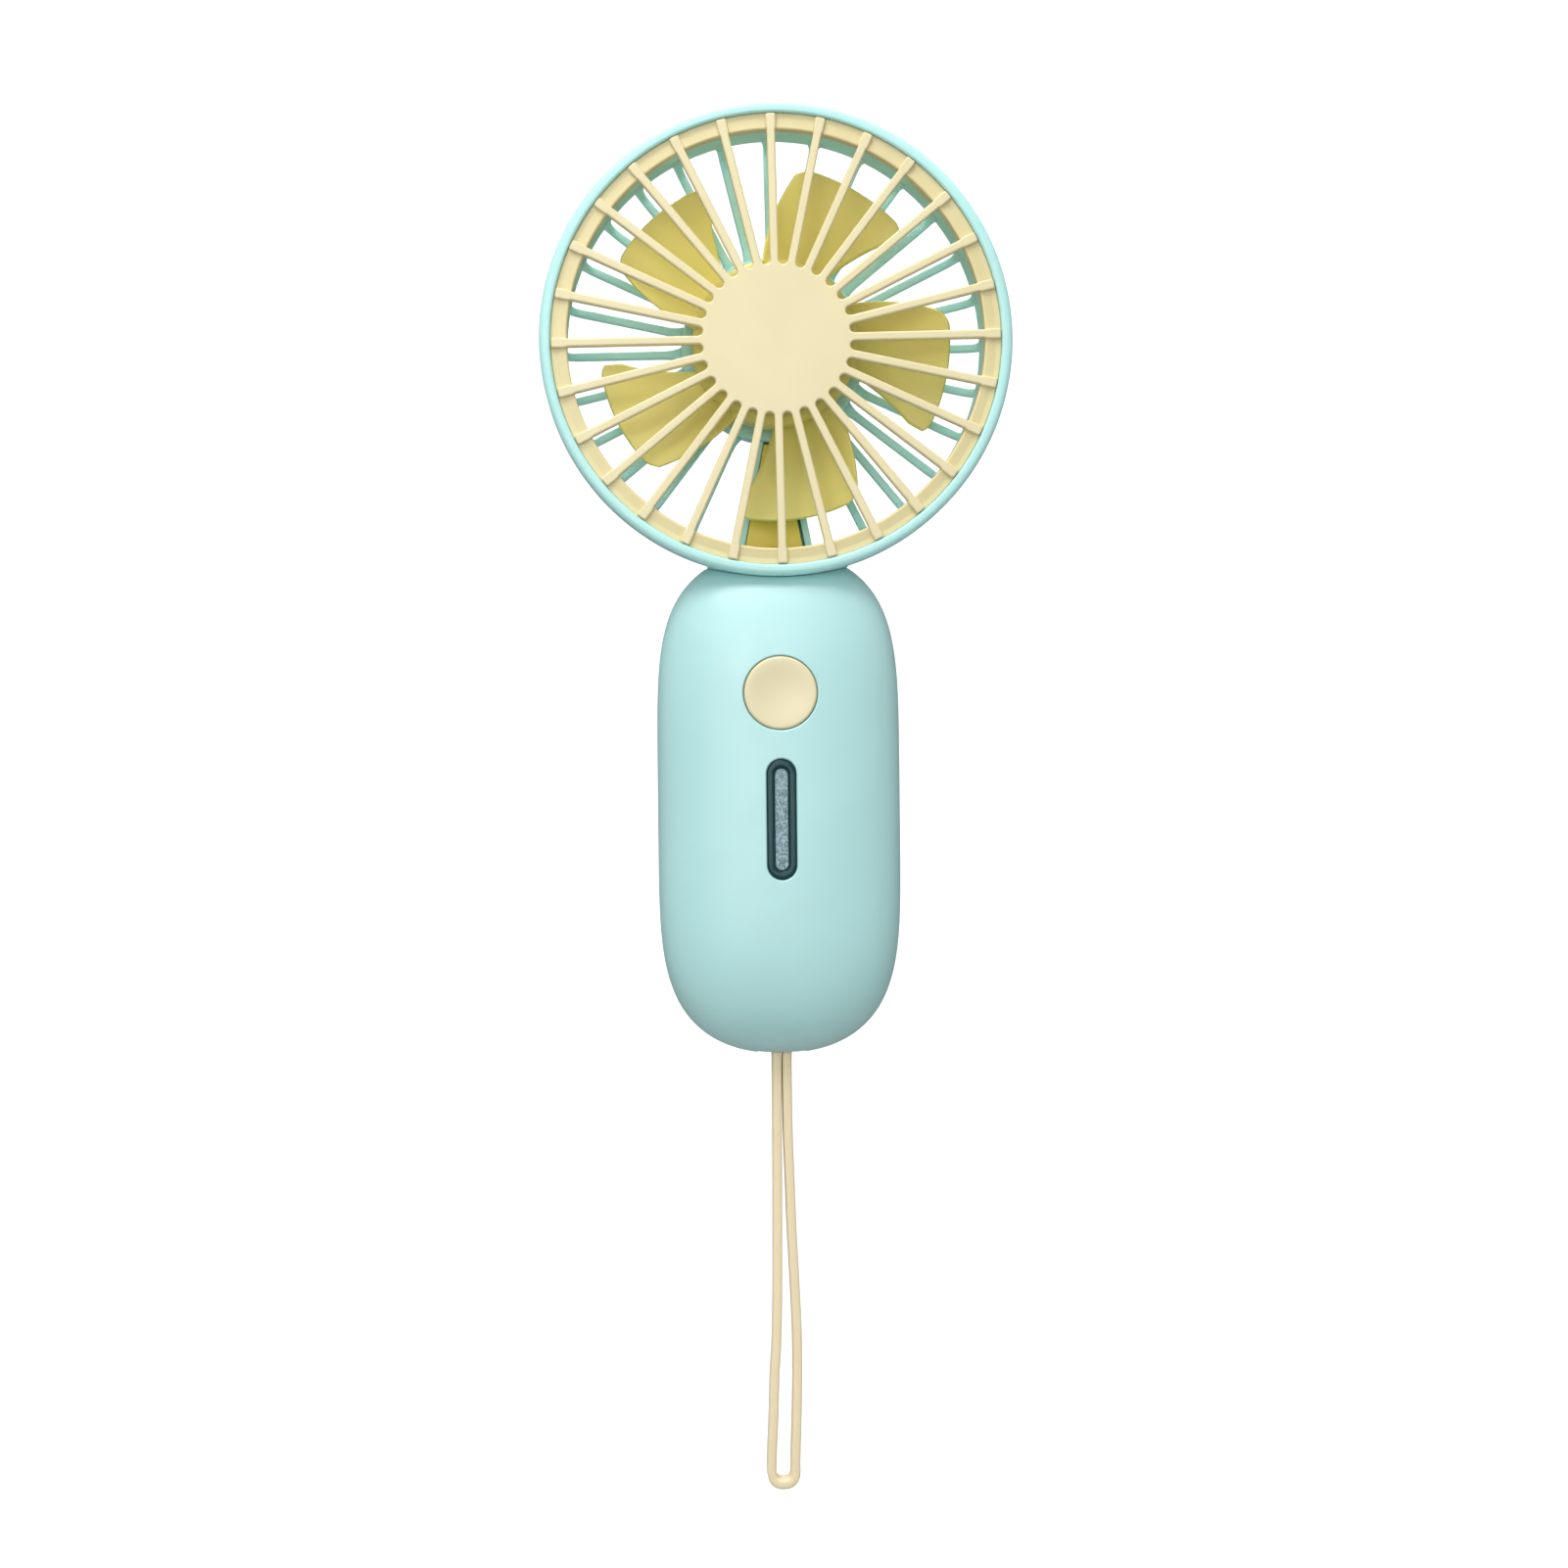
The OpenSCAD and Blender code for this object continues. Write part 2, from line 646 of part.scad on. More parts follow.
module usb_mouth() {
    z = board_z - usb_h / 2;
    w = usb_w + 0.3;
    h = usb_h + 0.3;
    for (s = [-1, 1]) rod_y(s * (w - h) / 2, z, h / 2, usb_low_y, 20);
    box([-(w - h) / 2, usb_low_y, z - h / 2], [(w - h) / 2, 20, z + h / 2]);
}

module shell_screws() color(steel) {
    for (x = [-boss_x, boss_x], z = [-boss_z, boss_z]) difference() {
        union() {
            rod_y(x, z, 0.86, -6.5, screw_seat_y + eps);
            rod_y(x, z, 1.9, screw_seat_y, screw_seat_y + 1.2);
        }
        box([x - 1.2, screw_seat_y + 0.6, z - 0.2], [x + 1.2, 12, z + 0.2]);
        box([x - 0.2, screw_seat_y + 0.6, z - 1.2], [x + 0.2, 12, z + 1.2]);
    }
}

// ---------- controls ----------

module power_button() color(cream) {
    face_y = -half_d + 0.05;
    r = button_d / 2;
    translate([0, 0, button_z]) rotate([-90, 0, 0]) rotate_extrude() polygon([
        [0, face_y + 0.5], [r * 0.5, face_y + 0.42], [r * 0.8, face_y + 0.22], [r - 0.5, face_y],
        [r - 0.2, face_y + 0.05], [r, face_y + 0.3], [r, -11.45], [r + 0.8, -11.45], [r + 0.8, -10.8],
        [r - 1.3, -10.8], [r - 1.3, face_y + 1.6], [2, face_y + 1.6], [2, -12], [0, -12]
    ]);
}

module switch_plunger() color(black) {
    rod_y(0, button_z, 1.65, -12, -11);
}

module switch_body() color(steel) difference() {
    box([-3, -11.5, button_z - 3], [3, pcb_front_y, button_z + 3]);
    rod_y(0, button_z, 1.75, -12, button_travel - 10.8);
}

module indicator_window() color([0.10, 0.20, 0.20]) translate([0, 0, window_z]) difference() {
    union() {
        stadium_y(window_w, window_h, -half_d + 0.12, -11.9);
        stadium_y(window_w + 2.2, window_h + 2, -12, -11.2);
    }
    stadium_y(light_w + 0.1, light_h + 0.1, -20, -5);
}

module light_diffuser() color([0.75, 0.77, 0.78]) translate([0, 0, window_z]) {
    stadium_y(light_w, light_h, -half_d + 0.3, -10);
}

module indicator_leds() color([0.95, 0.95, 0.80]) {
    for (k = [-1.5, -0.5, 0.5, 1.5]) translate([0, 0, window_z + k * 4.8])
        box([-0.8, -9.4, -0.5], [0.8, pcb_front_y, 0.5]);
}

// ---------- electronics ----------

module circuit_board() color(board_green) difference() {
    box([-9, pcb_front_y, -19.8], [9, pcb_back_y, 32.8]);
    for (x = [-post_x, post_x], z = post_zs) rod_y(x, z, 0.8, -10, -6);
}

module board_components() color(black) {
    box([-7.6, -10.1, -1], [-3.7, pcb_front_y, 4]);
    rod_y(5.6, 3, 2.6, -10.7, pcb_front_y);
    box([3.4, -9.7, -9], [6.4, pcb_front_y, -6]);
    for (z = [-12, -9.5, -7]) box([-6.4, -9.4, z], [-4.8, pcb_front_y, z + 0.8]);
    for (z = [-1.6, 7.6]) box([4.8, -9.4, z], [6.4, pcb_front_y, z + 0.8]);
}

module board_screws() color(steel) {
    for (x = [-post_x, post_x], z = post_zs) {
        rod_y(x, z, 0.62, -10.8, pcb_back_y + eps);
        rod_y(x, z, 1.4, pcb_back_y, pcb_back_y + 0.9);
    }
}

module charging_board() color(board_green) {
    box([-7.5, -2, board_z], [7.5, 9, board_z + 1]);
}

module usb_receptacle() color(steel) {
    z = board_z - usb_h / 2;
    half = (usb_w - usb_h) / 2;
    difference() {
        union() {
            for (s = [-1, 1]) rod_y(s * half, z, usb_h / 2, usb_low_y, usb_mouth_y);
            box([-half, usb_low_y, board_z - usb_h], [half, usb_mouth_y, board_z]);
        }
        for (s = [-1, 1]) rod_y(s * half, z, usb_h / 2 - 0.3, usb_low_y + 0.8, 20);
        box([-half, usb_low_y + 0.8, board_z - usb_h + 0.3], [half, 20, board_z - 0.3]);
    }
}

module usb_tongue() color(black) {
    z = board_z - usb_h / 2;
    box([-3.3, usb_low_y + 0.8, z - 0.35], [3.3, usb_mouth_y - 0.6, z + 0.35]);
}

module charging_leads() color([0.75, 0.12, 0.10]) {
    for (s = [0, 1]) mirror([s, 0, 0]) lead(charging_lead_route, 0.42);
}

module battery_cell() color(steel) translate([0, cell_y, 0]) {
    translate([0, 0, cell_low_z]) cylinder(r = cell_r, h = cell_high_z - cell_low_z - 1);
    translate([0, 0, cell_high_z - 1]) cylinder(r = 3.2, h = 1);
}

module battery_wrap() color([0.15, 0.45, 0.75]) translate([0, cell_y, 0]) difference() {
    translate([0, 0, cell_low_z + 0.3])
        cylinder(r = cell_r + wrap_t, h = cell_high_z - cell_low_z - 1.6);
    translate([0, 0, cell_low_z - 1]) cylinder(r = cell_r, h = 80);
}

module battery_tabs() color([0.78, 0.78, 0.76]) {
    box([-5, cell_y - 3, cell_high_z], [2.5, cell_y + 3, cell_high_z + 0.4]);
    box([-6, cell_y - 3, cell_low_z - 0.4], [2.5, cell_y + 3, cell_low_z]);
}

module battery_leads() color([0.10, 0.10, 0.12]) {
    lead(battery_top_route, 0.42);
    lead(battery_low_route, 0.42);
}

module battery_foam() color([0.30, 0.30, 0.32]) {
    box([-2, pcb_back_y, -8], [2, cell_y - cell_r - wrap_t, 20]);
}

// ---------- strap ----------

module lanyard_pin() color(steel) rod_y(0, pin_z, pin_r, -7.8, 7.8);

module wrist_strap() color(cream) {
    route = [for (p = smooth_route(strap_route, 2)) [p[0], 0, p[1]]];
    sweep(route, flat_section(strap_t, strap_w, 0.35), [0, 1, 0]);
}

front_grille();
rear_housing();
wire_channel_cover();
rear_hub_cap();
impeller();
motor_shaft();
motor_armature();
motor_windings();
motor_commutator();
motor_can();
motor_magnets();
motor_end_cap();
motor_bushings();
motor_brushes();
motor_terminals();
motor_screws();
motor_leads();
handle_front_shell();
handle_back_shell();
shell_screws();
power_button();
switch_plunger();
switch_body();
indicator_window();
light_diffuser();
indicator_leds();
circuit_board();
board_components();
board_screws();
charging_board();
usb_receptacle();
usb_tongue();
charging_leads();
battery_cell();
battery_wrap();
battery_tabs();
battery_leads();
battery_foam();
lanyard_pin();
wrist_strap();
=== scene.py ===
import math

import bmesh
import bpy
from mathutils import Matrix, Vector


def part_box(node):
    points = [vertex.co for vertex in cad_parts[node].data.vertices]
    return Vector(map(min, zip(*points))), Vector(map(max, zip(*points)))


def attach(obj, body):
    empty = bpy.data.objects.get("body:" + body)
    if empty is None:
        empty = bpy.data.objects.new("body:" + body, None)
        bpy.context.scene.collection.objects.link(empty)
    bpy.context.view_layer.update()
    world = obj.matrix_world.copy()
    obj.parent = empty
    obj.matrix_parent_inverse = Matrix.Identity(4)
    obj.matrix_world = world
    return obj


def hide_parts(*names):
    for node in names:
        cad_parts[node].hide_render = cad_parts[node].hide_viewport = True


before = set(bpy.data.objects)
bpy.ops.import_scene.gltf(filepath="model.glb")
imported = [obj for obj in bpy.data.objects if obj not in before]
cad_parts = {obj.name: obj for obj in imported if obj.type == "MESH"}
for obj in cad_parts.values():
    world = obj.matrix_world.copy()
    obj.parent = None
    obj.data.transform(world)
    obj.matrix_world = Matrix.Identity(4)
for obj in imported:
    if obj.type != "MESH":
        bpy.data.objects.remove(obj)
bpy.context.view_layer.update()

MM = 0.001


def corners(node):
    """A CAD node's lowest and highest corners, in millimetres."""
    low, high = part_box(node)
    return low / MM, high / MM


# ------------------------------------------------------------------ sizes, in millimetres

grille_low, grille_high = corners("front_grille")
rim_low, rim_high = corners("rear_housing")
shell_low, shell_high = corners("handle_front_shell")
button_low, button_high = corners("power_button")
window_low, window_high = corners("indicator_window")
light_low, light_high = corners("light_diffuser")
pin_low, pin_high = corners("lanyard_pin")
port_low, port_high = corners("usb_receptacle")
cap_low, cap_high = corners("rear_hub_cap")
cover_low, cover_high = corners("wire_channel_cover")
IMPELLER_FRONT = corners("impeller")[0].y
SCREW_BACK = corners("shell_screws")[1].y

# Head: radii from the fan's axis, depths along it, and half-widths.
HEAD_Z = (grille_low.z + grille_high.z) / 2
HEAD_R = rim_high.x
RING_R = grille_high.x
RIM_FRONT = rim_low.y
HUB_FACE = grille_low.y
HUB_BACK = HUB_FACE + 2.2
LEDGE_Y = RIM_FRONT + 4
RING_FACE = HUB_FACE + 1.35
SPOKES = 28
PITCH = 2 * math.pi / SPOKES
SPOKE_TURN = math.radians(1)
DOWN = 3 * SPOKES // 4
SPOKE_HALF = 0.8
SPOKE_END_HALF = 1.0
RING_INNER_R = 39.9
HUB_R = 15.05
LIP_R = HEAD_R - 2.12
REAR_FACE = 7
REAR_BACK = 9.2
REAR_HUB_R = 18
REAR_HUB_FRONT = 3
SEAT_R = 12.3
SEAT_FRONT = 9.4
SEAT_BACK = cap_low.y
SHAFT_HOLE_R = 3.2
CHANNEL_SLOPE = 0.189
CHANNEL_WALL = 1.35
CHANNEL_FRONT = 4.6
CHANNEL_BACK = 9.5
COLLAR_HALF_ANGLE = 17.4

# Impeller.
BLADES = 5
BLADE_TIP = 34
BLADE_ROOT = 15.4
BLADE_MID = -3.2
BLADE_PHASE = math.radians(8.6 - 90)
BLADE_HALF_THICK = 0.55
ROTOR_R = 16
BORE_R = 1
BOSS_R = 2.8

# Handle: one end taper for its outline and depth, a superellipse for its section.
HALF_W = shell_high.x
HALF_D = -shell_low.y
HALF_H = 48.8
END_POWER = 5
END_ROOT = 2.2
SECTION_POWER = 2.5
WALL = 1.8
SADDLE_R = HEAD_R + 0.08
SADDLE_ROUND_DOWN = 0.16
SADDLE_ROUND_IN = 0.18
PARTING_GROOVE = 0.12
NECK_HALF_W = 7
NECK_HALF_D = 4.5
NECK_GAP = 0.1
BUTTON_Z = (button_low.z + button_high.z) / 2
BUTTON_R = 7
WINDOW_Z = (window_low.z + window_high.z) / 2
WINDOW_HALF = 2.8
WINDOW_RUN = 8.7
LIGHT_HALF = light_high.x
LIGHT_RUN = (light_high.z - light_low.z) / 2 - LIGHT_HALF
SCREW_X = 14.5
SCREW_Z = 27
SCREW_SEAT = SCREW_BACK - 1.2
SCREW_HOLE_R = 2.05
POST_R = 2.6
POST_FRONT = 10.3
POST_BACK = 9.4
PORT_Z = (port_low.z + port_high.z) / 2
PORT_HALF = (port_high.z - port_low.z) / 2 + 0.15
PORT_RUN = port_high.x + 0.15 - PORT_HALF
PIN_Z = (pin_low.z + pin_high.z) / 2

# Strap: the route of its centreline in the XZ plane, as the CAD has it.
STRAP_W = 5.6
STRAP_T = 1.8
STRAP_ROUTE = [
    (-0.15, -41.9), (-1.5, -42.5), (-2.1, -44), (-1.7, -45.7), (-1.15, -47.3), (-1, -50),
    (-1, -58), (-1.05, -66), (-1.1, -74), (-1.2, -84), (-1.3, -94), (-1.55, -104),
    (-2, -111), (-2.3, -119), (-2.7, -127), (-2.7, -130.6), (-1.8, -132),
    (-0.5, -132.3), (0.9, -132), (1.8, -130.6), (1.9, -127), (2.2, -119),
    (2.4, -111), (2.4, -103), (2.05, -93), (1.6, -83), (1.35, -74), (1.1, -66),
    (1, -58), (1, -50), (1.15, -47.3), (1.7, -45.7), (2.1, -44), (1.5, -42.5), (0.15, -41.9),
]

# ------------------------------------------------------------------ camera


def placed(name, data):
    """A new object in the scene."""
    made = bpy.data.objects.new(name, data)
    bpy.context.scene.collection.objects.link(made)
    return made


def look_from(place, target, lens, roll):
    """A camera at a place that looks at a target; roll turns it about its own axis."""
    data = bpy.data.cameras.new("camera")
    data.lens = lens
    data.sensor_width = 36
    data.clip_start = 0.01
    data.clip_end = 20
    camera = placed("camera", data)
    turn = (target - place).to_track_quat("-Z", "Y").to_matrix().to_4x4()
    camera.matrix_world = Matrix.Translation(place) @ turn @ Matrix.Rotation(roll, 4, "Z")
    bpy.context.scene.camera = camera


CAMERA = Vector((-24, -599.5, 3.3)) * MM
TARGET = Vector((1.04, 0, 3.45)) * MM
LENS = 70.82
ROLL = math.radians(-0.6)
look_from(CAMERA, TARGET, LENS, ROLL)

# ------------------------------------------------------------------ materials


def shader_of(name, colour, roughness, metallic=0.0):
    """A new material with a Principled shader; returns it, its node tree and the shader."""
    made = bpy.data.materials.new(name)
    made.use_nodes = True
    tree = made.node_tree
    shader = tree.nodes["Principled BSDF"]
    shader.inputs["Base Color"].default_value = (*colour, 1)
    shader.inputs["Roughness"].default_value = roughness
    shader.inputs["Metallic"].default_value = metallic
    return made, tree, shader


def node(tree, kind, **values):
    """A new node; values set its properties, or its inputs where it has no such property."""
    made = tree.nodes.new(kind)
    for name, value in values.items():
        if hasattr(made, name):
            setattr(made, name, value)
        else:
            made.inputs[name.replace("_", " ")].default_value = value
    return made


def own_space(tree):
    """The piece's own coordinates, in metres."""
    return node(tree, "ShaderNodeTexCoord").outputs["Object"]


def noise(tree, scale, detail=3.0, stretch=(1, 1, 1), distortion=0.0):
    """Noise in object space; scale is in features per metre."""
    mapping = node(tree, "ShaderNodeMapping", Scale=stretch)
    made = node(tree, "ShaderNodeTexNoise", Scale=scale, Detail=detail, Distortion=distortion)
    tree.links.new(own_space(tree), mapping.inputs["Vector"])
    tree.links.new(mapping.outputs["Vector"], made.inputs["Vector"])
    return made.outputs["Fac"]


def mapped(tree, value, low, high, start=0.3, end=0.7):
    """A value stretched from start..end to low..high."""
    made = node(tree, "ShaderNodeMapRange", From_Min=start, From_Max=end, To_Min=low, To_Max=high)
    tree.links.new(value, made.inputs["Value"])
    return made.outputs["Result"]


def shade(tree, value, dark, light):
    """A colour between two, by a value from 0 to 1."""
    made = node(tree, "ShaderNodeValToRGB")
    made.color_ramp.elements[0].color = (*dark, 1)
    made.color_ramp.elements[1].color = (*light, 1)
    tree.links.new(value, made.inputs["Fac"])
    return made.outputs["Color"]


def bumps(tree, shader, layers):
    """Stacked bumps; each layer is (height value, depth in metres, strength)."""
    below = None
    for height, depth, strength in layers:
        made = node(tree, "ShaderNodeBump", Strength=strength, Distance=depth)
        tree.links.new(height, made.inputs["Height"])
        if below:
            tree.links.new(below, made.inputs["Normal"])
        below = made.outputs["Normal"]
    tree.links.new(below, shader.inputs["Normal"])


def varied(colour, amount):
    """The colour made a little darker and a little lighter."""
    return [c * (1 - amount) for c in colour], [min(1, c * (1 + amount)) for c in colour]


def plastic(name, colour, roughness, grain=0.25, specular=0.5, glow=0.0, variation=0.02,
            reach=(1.0, 0.9, 0.6)):
    """Moulded plastic: broad flow variation, fine spark-eroded grain, patchy gloss."""
    made, tree, shader = shader_of(name, colour, roughness)
    flow = mapped(tree, noise(tree, 55, 2.0, distortion=0.6), 0, 1)
    tree.links.new(shade(tree, flow, *varied(colour, variation)), shader.inputs["Base Color"])
    patches = mapped(tree, noise(tree, 240, 4.0), roughness - 0.05, roughness + 0.05)
    tree.links.new(patches, shader.inputs["Roughness"])
    shader.inputs["Specular IOR Level"].default_value = specular
    if glow:
        shader.inputs["Subsurface Weight"].default_value = glow
        shader.inputs["Subsurface Radius"].default_value = reach
        shader.inputs["Subsurface Scale"].default_value = 0.0012
    bumps(tree, shader, [
        (noise(tree, 9000, 2.0), 0.000012, grain),
        (noise(tree, 700, 2.0), 0.00002, grain * 0.5),
    ])
    return made


def metal(name, colour, roughness, stretch=(1, 1, 1), grain=4000, variation=0.08):
    """Plated or drawn metal, its fine lines along the axis that stretch makes small."""
    made, tree, shader = shader_of(name, colour, roughness, metallic=1.0)
    lines = noise(tree, grain, 5.0, stretch)
    tone = mapped(tree, lines, 0, 1)
    tree.links.new(shade(tree, tone, *varied(colour, variation)), shader.inputs["Base Color"])
    gloss = mapped(tree, lines, roughness - 0.07, roughness + 0.1)
    tree.links.new(gloss, shader.inputs["Roughness"])
    bumps(tree, shader, [(lines, 0.00001, 0.3)])
    return made


def banded(name, colour, dark, pitch, direction, roughness, metallic):
    """Metal in fine parallel bands, such as wound wire or stacked sheets."""
    made, tree, shader = shader_of(name, colour, roughness, metallic)
    wave = node(tree, "ShaderNodeTexWave", bands_direction=direction, Distortion=0.4,
                Scale=0.31415 / pitch)
    tree.links.new(own_space(tree), wave.inputs["Vector"])
    tree.links.new(shade(tree, wave.outputs["Fac"], dark, colour), shader.inputs["Base Color"])
    bumps(tree, shader, [(wave.outputs["Fac"], 0.00008, 0.8), (noise(tree, 3000), 0.00002, 0.3)])
    return made


def circuit_material():
    """Solder mask over copper tracks, with bare pads on a 1.27 mm grid."""
    green = (0.02, 0.16, 0.07)
    made, tree, shader = shader_of("circuit_green", green, 0.35)
    tracks = node(tree, "ShaderNodeTexBrick", Scale=390.0, Mortar_Size=0.06, Bias=-0.2,
                  Color1=(*green, 1), Color2=(0.015, 0.12, 0.055, 1), Mortar=(0.04, 0.27, 0.12, 1))
    turned = node(tree, "ShaderNodeMapping", Rotation=(math.pi / 2, 0, 0))
    tree.links.new(own_space(tree), turned.inputs["Vector"])
    tree.links.new(turned.outputs["Vector"], tracks.inputs["Vector"])
    pads = node(tree, "ShaderNodeTexVoronoi", Scale=520.0, Randomness=0.15)
    tree.links.new(turned.outputs["Vector"], pads.inputs["Vector"])
    bare = mapped(tree, pads.outputs["Distance"], 1, 0, 0.16, 0.2)
    mixed = node(tree, "ShaderNodeMix", data_type="RGBA")
    tree.links.new(bare, mixed.inputs["Factor"])
    tree.links.new(tracks.outputs["Color"], mixed.inputs[6])
    mixed.inputs[7].default_value = (0.72, 0.68, 0.52, 1)
    tree.links.new(mixed.outputs[2], shader.inputs["Base Color"])
    tree.links.new(mapped(tree, bare, 0, 0.9, 0, 1), shader.inputs["Metallic"])
    bumps(tree, shader, [(tracks.outputs["Fac"], 0.00003, 0.4), (bare, 0.00003, 0.5)])
    return made


def foam_material():
    """Closed-cell foam."""
    made, tree, shader = shader_of("foam", (0.03, 0.03, 0.032), 0.9)
    cells = node(tree, "ShaderNodeTexVoronoi", Scale=1800.0)
    tree.links.new(own_space(tree), cells.inputs["Vector"])
    grey = shade(tree, cells.outputs["Distance"], (0.015, 0.015, 0.016), (0.06, 0.06, 0.064))
    tree.links.new(grey, shader.inputs["Base Color"])
    bumps(tree, shader, [(cells.outputs["Distance"], 0.00015, 0.9)])
    return made


def diffuser_material():
    """Frosted light guide: pale grey, mottled."""
    made, tree, shader = shader_of("frosted_diffuser", (0.26, 0.34, 0.37), 0.5)
    speckle = mapped(tree, noise(tree, 2600, 5.0), 0, 1, 0.38, 0.62)
    tone = shade(tree, speckle, (0.10, 0.185, 0.21), (0.36, 0.49, 0.53))
    tree.links.new(tone, shader.inputs["Base Color"])
    shader.inputs["Subsurface Weight"].default_value = 0.2
    shader.inputs["Subsurface Scale"].default_value = 0.0006
    bumps(tree, shader, [(noise(tree, 5200, 4.0), 0.00005, 0.7)])
    return made


def silicone_material():
    """Moulded silicone: satin, softly lit from within, with fine dust-catching grain."""
    colour = (0.86, 0.74, 0.50)
    made, tree, shader = shader_of("cream_silicone", colour, 0.55)
    flow = mapped(tree, noise(tree, 90, 3.0, (1, 1, 0.2)), 0, 1)
    tree.links.new(shade(tree, flow, *varied(colour, 0.03)), shader.inputs["Base Color"])
    tree.links.new(mapped(tree, noise(tree, 500, 4.0), 0.48, 0.64), shader.inputs["Roughness"])
    shader.inputs["Subsurface Weight"].default_value = 0.35
    shader.inputs["Subsurface Radius"].default_value = (1.0, 0.8, 0.45)
    shader.inputs["Subsurface Scale"].default_value = 0.0012
    shader.inputs["Sheen Weight"].default_value = 0.15
    shader.inputs["Sheen Roughness"].default_value = 0.5
    bumps(tree, shader, [(noise(tree, 7000, 3.0), 0.000015, 0.35)])
    return made


MINT = (0.44, 0.745, 0.735)
# Painted light: the rim and rear spokes take a lighter copy of the handle's mint, so that they read
# brighter where they sit in shade.
LIGHTENED_HOUSING_MINT = (0.47, 0.79, 0.755)
CREAM = (0.74, 0.655, 0.39)
BUTTON_CREAM = (0.76, 0.685, 0.44)
OLIVE = (0.78, 0.68, 0.20)
# Painted shade: the grille's ring is the same cream as the hub disc, made browner and darker so
# that it reads as shaded.
SHADED_RING_CREAM = (0.74, 0.64, 0.345)
COVER_OLIVE = (0.92, 0.66, 0.08)
SMOKE = (0.004, 0.044, 0.050)
MATERIALS = {
    "mint_plastic": plastic("mint_plastic", MINT, 0.4, grain=0.2, specular=1.0, glow=0.08),
    # painted light: the lighter copy of the mint for the rear housing; its stronger subsurface is
    # the plastic's own translucency
    "lightened_housing_plastic": plastic("lightened_housing_plastic", LIGHTENED_HOUSING_MINT, 0.4, grain=0.2, specular=0.7,
                               glow=0.4, reach=(0.6, 1.0, 0.95)),
    "cream_plastic": plastic("cream_plastic", CREAM, 0.34, grain=0.15, specular=0.65, glow=0.12),
    "button_plastic": plastic("button_plastic", BUTTON_CREAM, 0.34, grain=0.15, glow=0.12),
    # painted shade: the browner copy of the cream, for the grille's ring
    "shaded_ring_plastic": plastic("shaded_ring_plastic", SHADED_RING_CREAM, 0.34, grain=0.15, glow=0.12),
    "blade_plastic": plastic("blade_plastic", OLIVE, 0.42, grain=0.2, glow=0.25, variation=0.05),
    "cover_plastic": plastic("cover_plastic", COVER_OLIVE, 0.42, glow=0.25),
    "white_plastic": plastic("white_plastic", (0.80, 0.80, 0.77), 0.5),
    "black_plastic": plastic("black_plastic", (0.02, 0.02, 0.024), 0.45),
    "smoked_window": plastic("smoked_window", SMOKE, 0.14, grain=0.04, specular=0.25),
    "cell_wrap": plastic("cell_wrap", (0.03, 0.16, 0.42), 0.3, grain=0.3),
    "red_insulation": plastic("red_insulation", (0.55, 0.03, 0.025), 0.5),
    "black_insulation": plastic("black_insulation", (0.02, 0.02, 0.022), 0.5),
    "steel": metal("steel", (0.60, 0.61, 0.63), 0.3, (1, 6, 1)),
    "bronze": metal("bronze", (0.55, 0.38, 0.16), 0.5, grain=9000),
    "magnet": metal("magnet", (0.06, 0.06, 0.065), 0.65, grain=7000),
    "cell_can": metal("cell_can", (0.66, 0.67, 0.69), 0.3, (1, 1, 0.1)),
    "laminated_iron": banded("laminated_iron", (0.34, 0.35, 0.37), (0.12, 0.12, 0.13),
                             0.0005, "Y", 0.5, 0.9),
    "copper": banded("copper", (0.62, 0.25, 0.10), (0.25, 0.07, 0.02), 0.00035, "X", 0.35, 0.9),
    "circuit_green": circuit_material(),
    "foam": foam_material(),
    "frosted_diffuser": diffuser_material(),
    "cream_silicone": silicone_material(),
}

# ------------------------------------------------------------------ mesh helpers


class Skin:
    """Points in millimetres and faces, gathered before they become one mesh."""

    def __init__(self):
        self.points = []
        self.faces = []

    def loft(self, rings, wrap=False):
        """Joins closed rings of equal length; wrap joins the last to the first, instead of caps."""
        base = len(self.points)
        size = len(rings[0])
        for ring in rings:
            self.points.extend(ring)
        count = len(rings)
        for i in range(count if wrap else count - 1):
            for k in range(size):
                here = base + i * size
                there = base + (i + 1) % count * size
                after = (k + 1) % size
                self.faces.append((here + k, here + after, there + after, there + k))
        if not wrap:
            self.faces.append(tuple(base + k for k in range(size)))
            self.faces.append(tuple(base + (count - 1) * size + k for k in reversed(range(size))))
        return self

    def lathe(self, profile, centre_z, steps):
        """Turns a closed profile of (radius, depth) about an axis along Y."""
        rings = []
        for k in range(steps):
            a = 2 * math.pi * k / steps
            rings.append([(r * math.cos(a), y, centre_z + r * math.sin(a)) for r, y in profile])
        return self.loft(rings, wrap=True)

    def stack(self, outline, levels):
        """Rings of an outline(inset), a list of (x, z), at each (inset, depth) level."""
        return self.loft([[(x, y, z) for x, z in outline(inset)] for inset, y in levels])

    def build(self, name):
        """The mesh, with doubled points merged and its faces turned outward."""
        mesh = bpy.data.meshes.new(name)
        mesh.from_pydata([Vector(p) * MM for p in self.points], [], self.faces)
        work = bmesh.new()
        work.from_mesh(mesh)
        bmesh.ops.remove_doubles(work, verts=work.verts, dist=2e-7)
        bmesh.ops.recalc_face_normals(work, faces=work.faces)
        work.to_mesh(mesh)
        work.free()
        return mesh


def thing(name, mesh, material, sharp=38, weighted=True):
    """An object with smooth shading that breaks at edges sharper than an angle."""
    made = placed(name, mesh)
    mesh.materials.clear()
    mesh.materials.append(MATERIALS[material])
    mesh.polygons.foreach_set("use_smooth", [True] * len(mesh.polygons))
    mesh.set_sharp_from_angle(angle=math.radians(sharp))
    if weighted:
        shading = made.modifiers.new("shading", "WEIGHTED_NORMAL")
        shading.keep_sharp = True
    return made


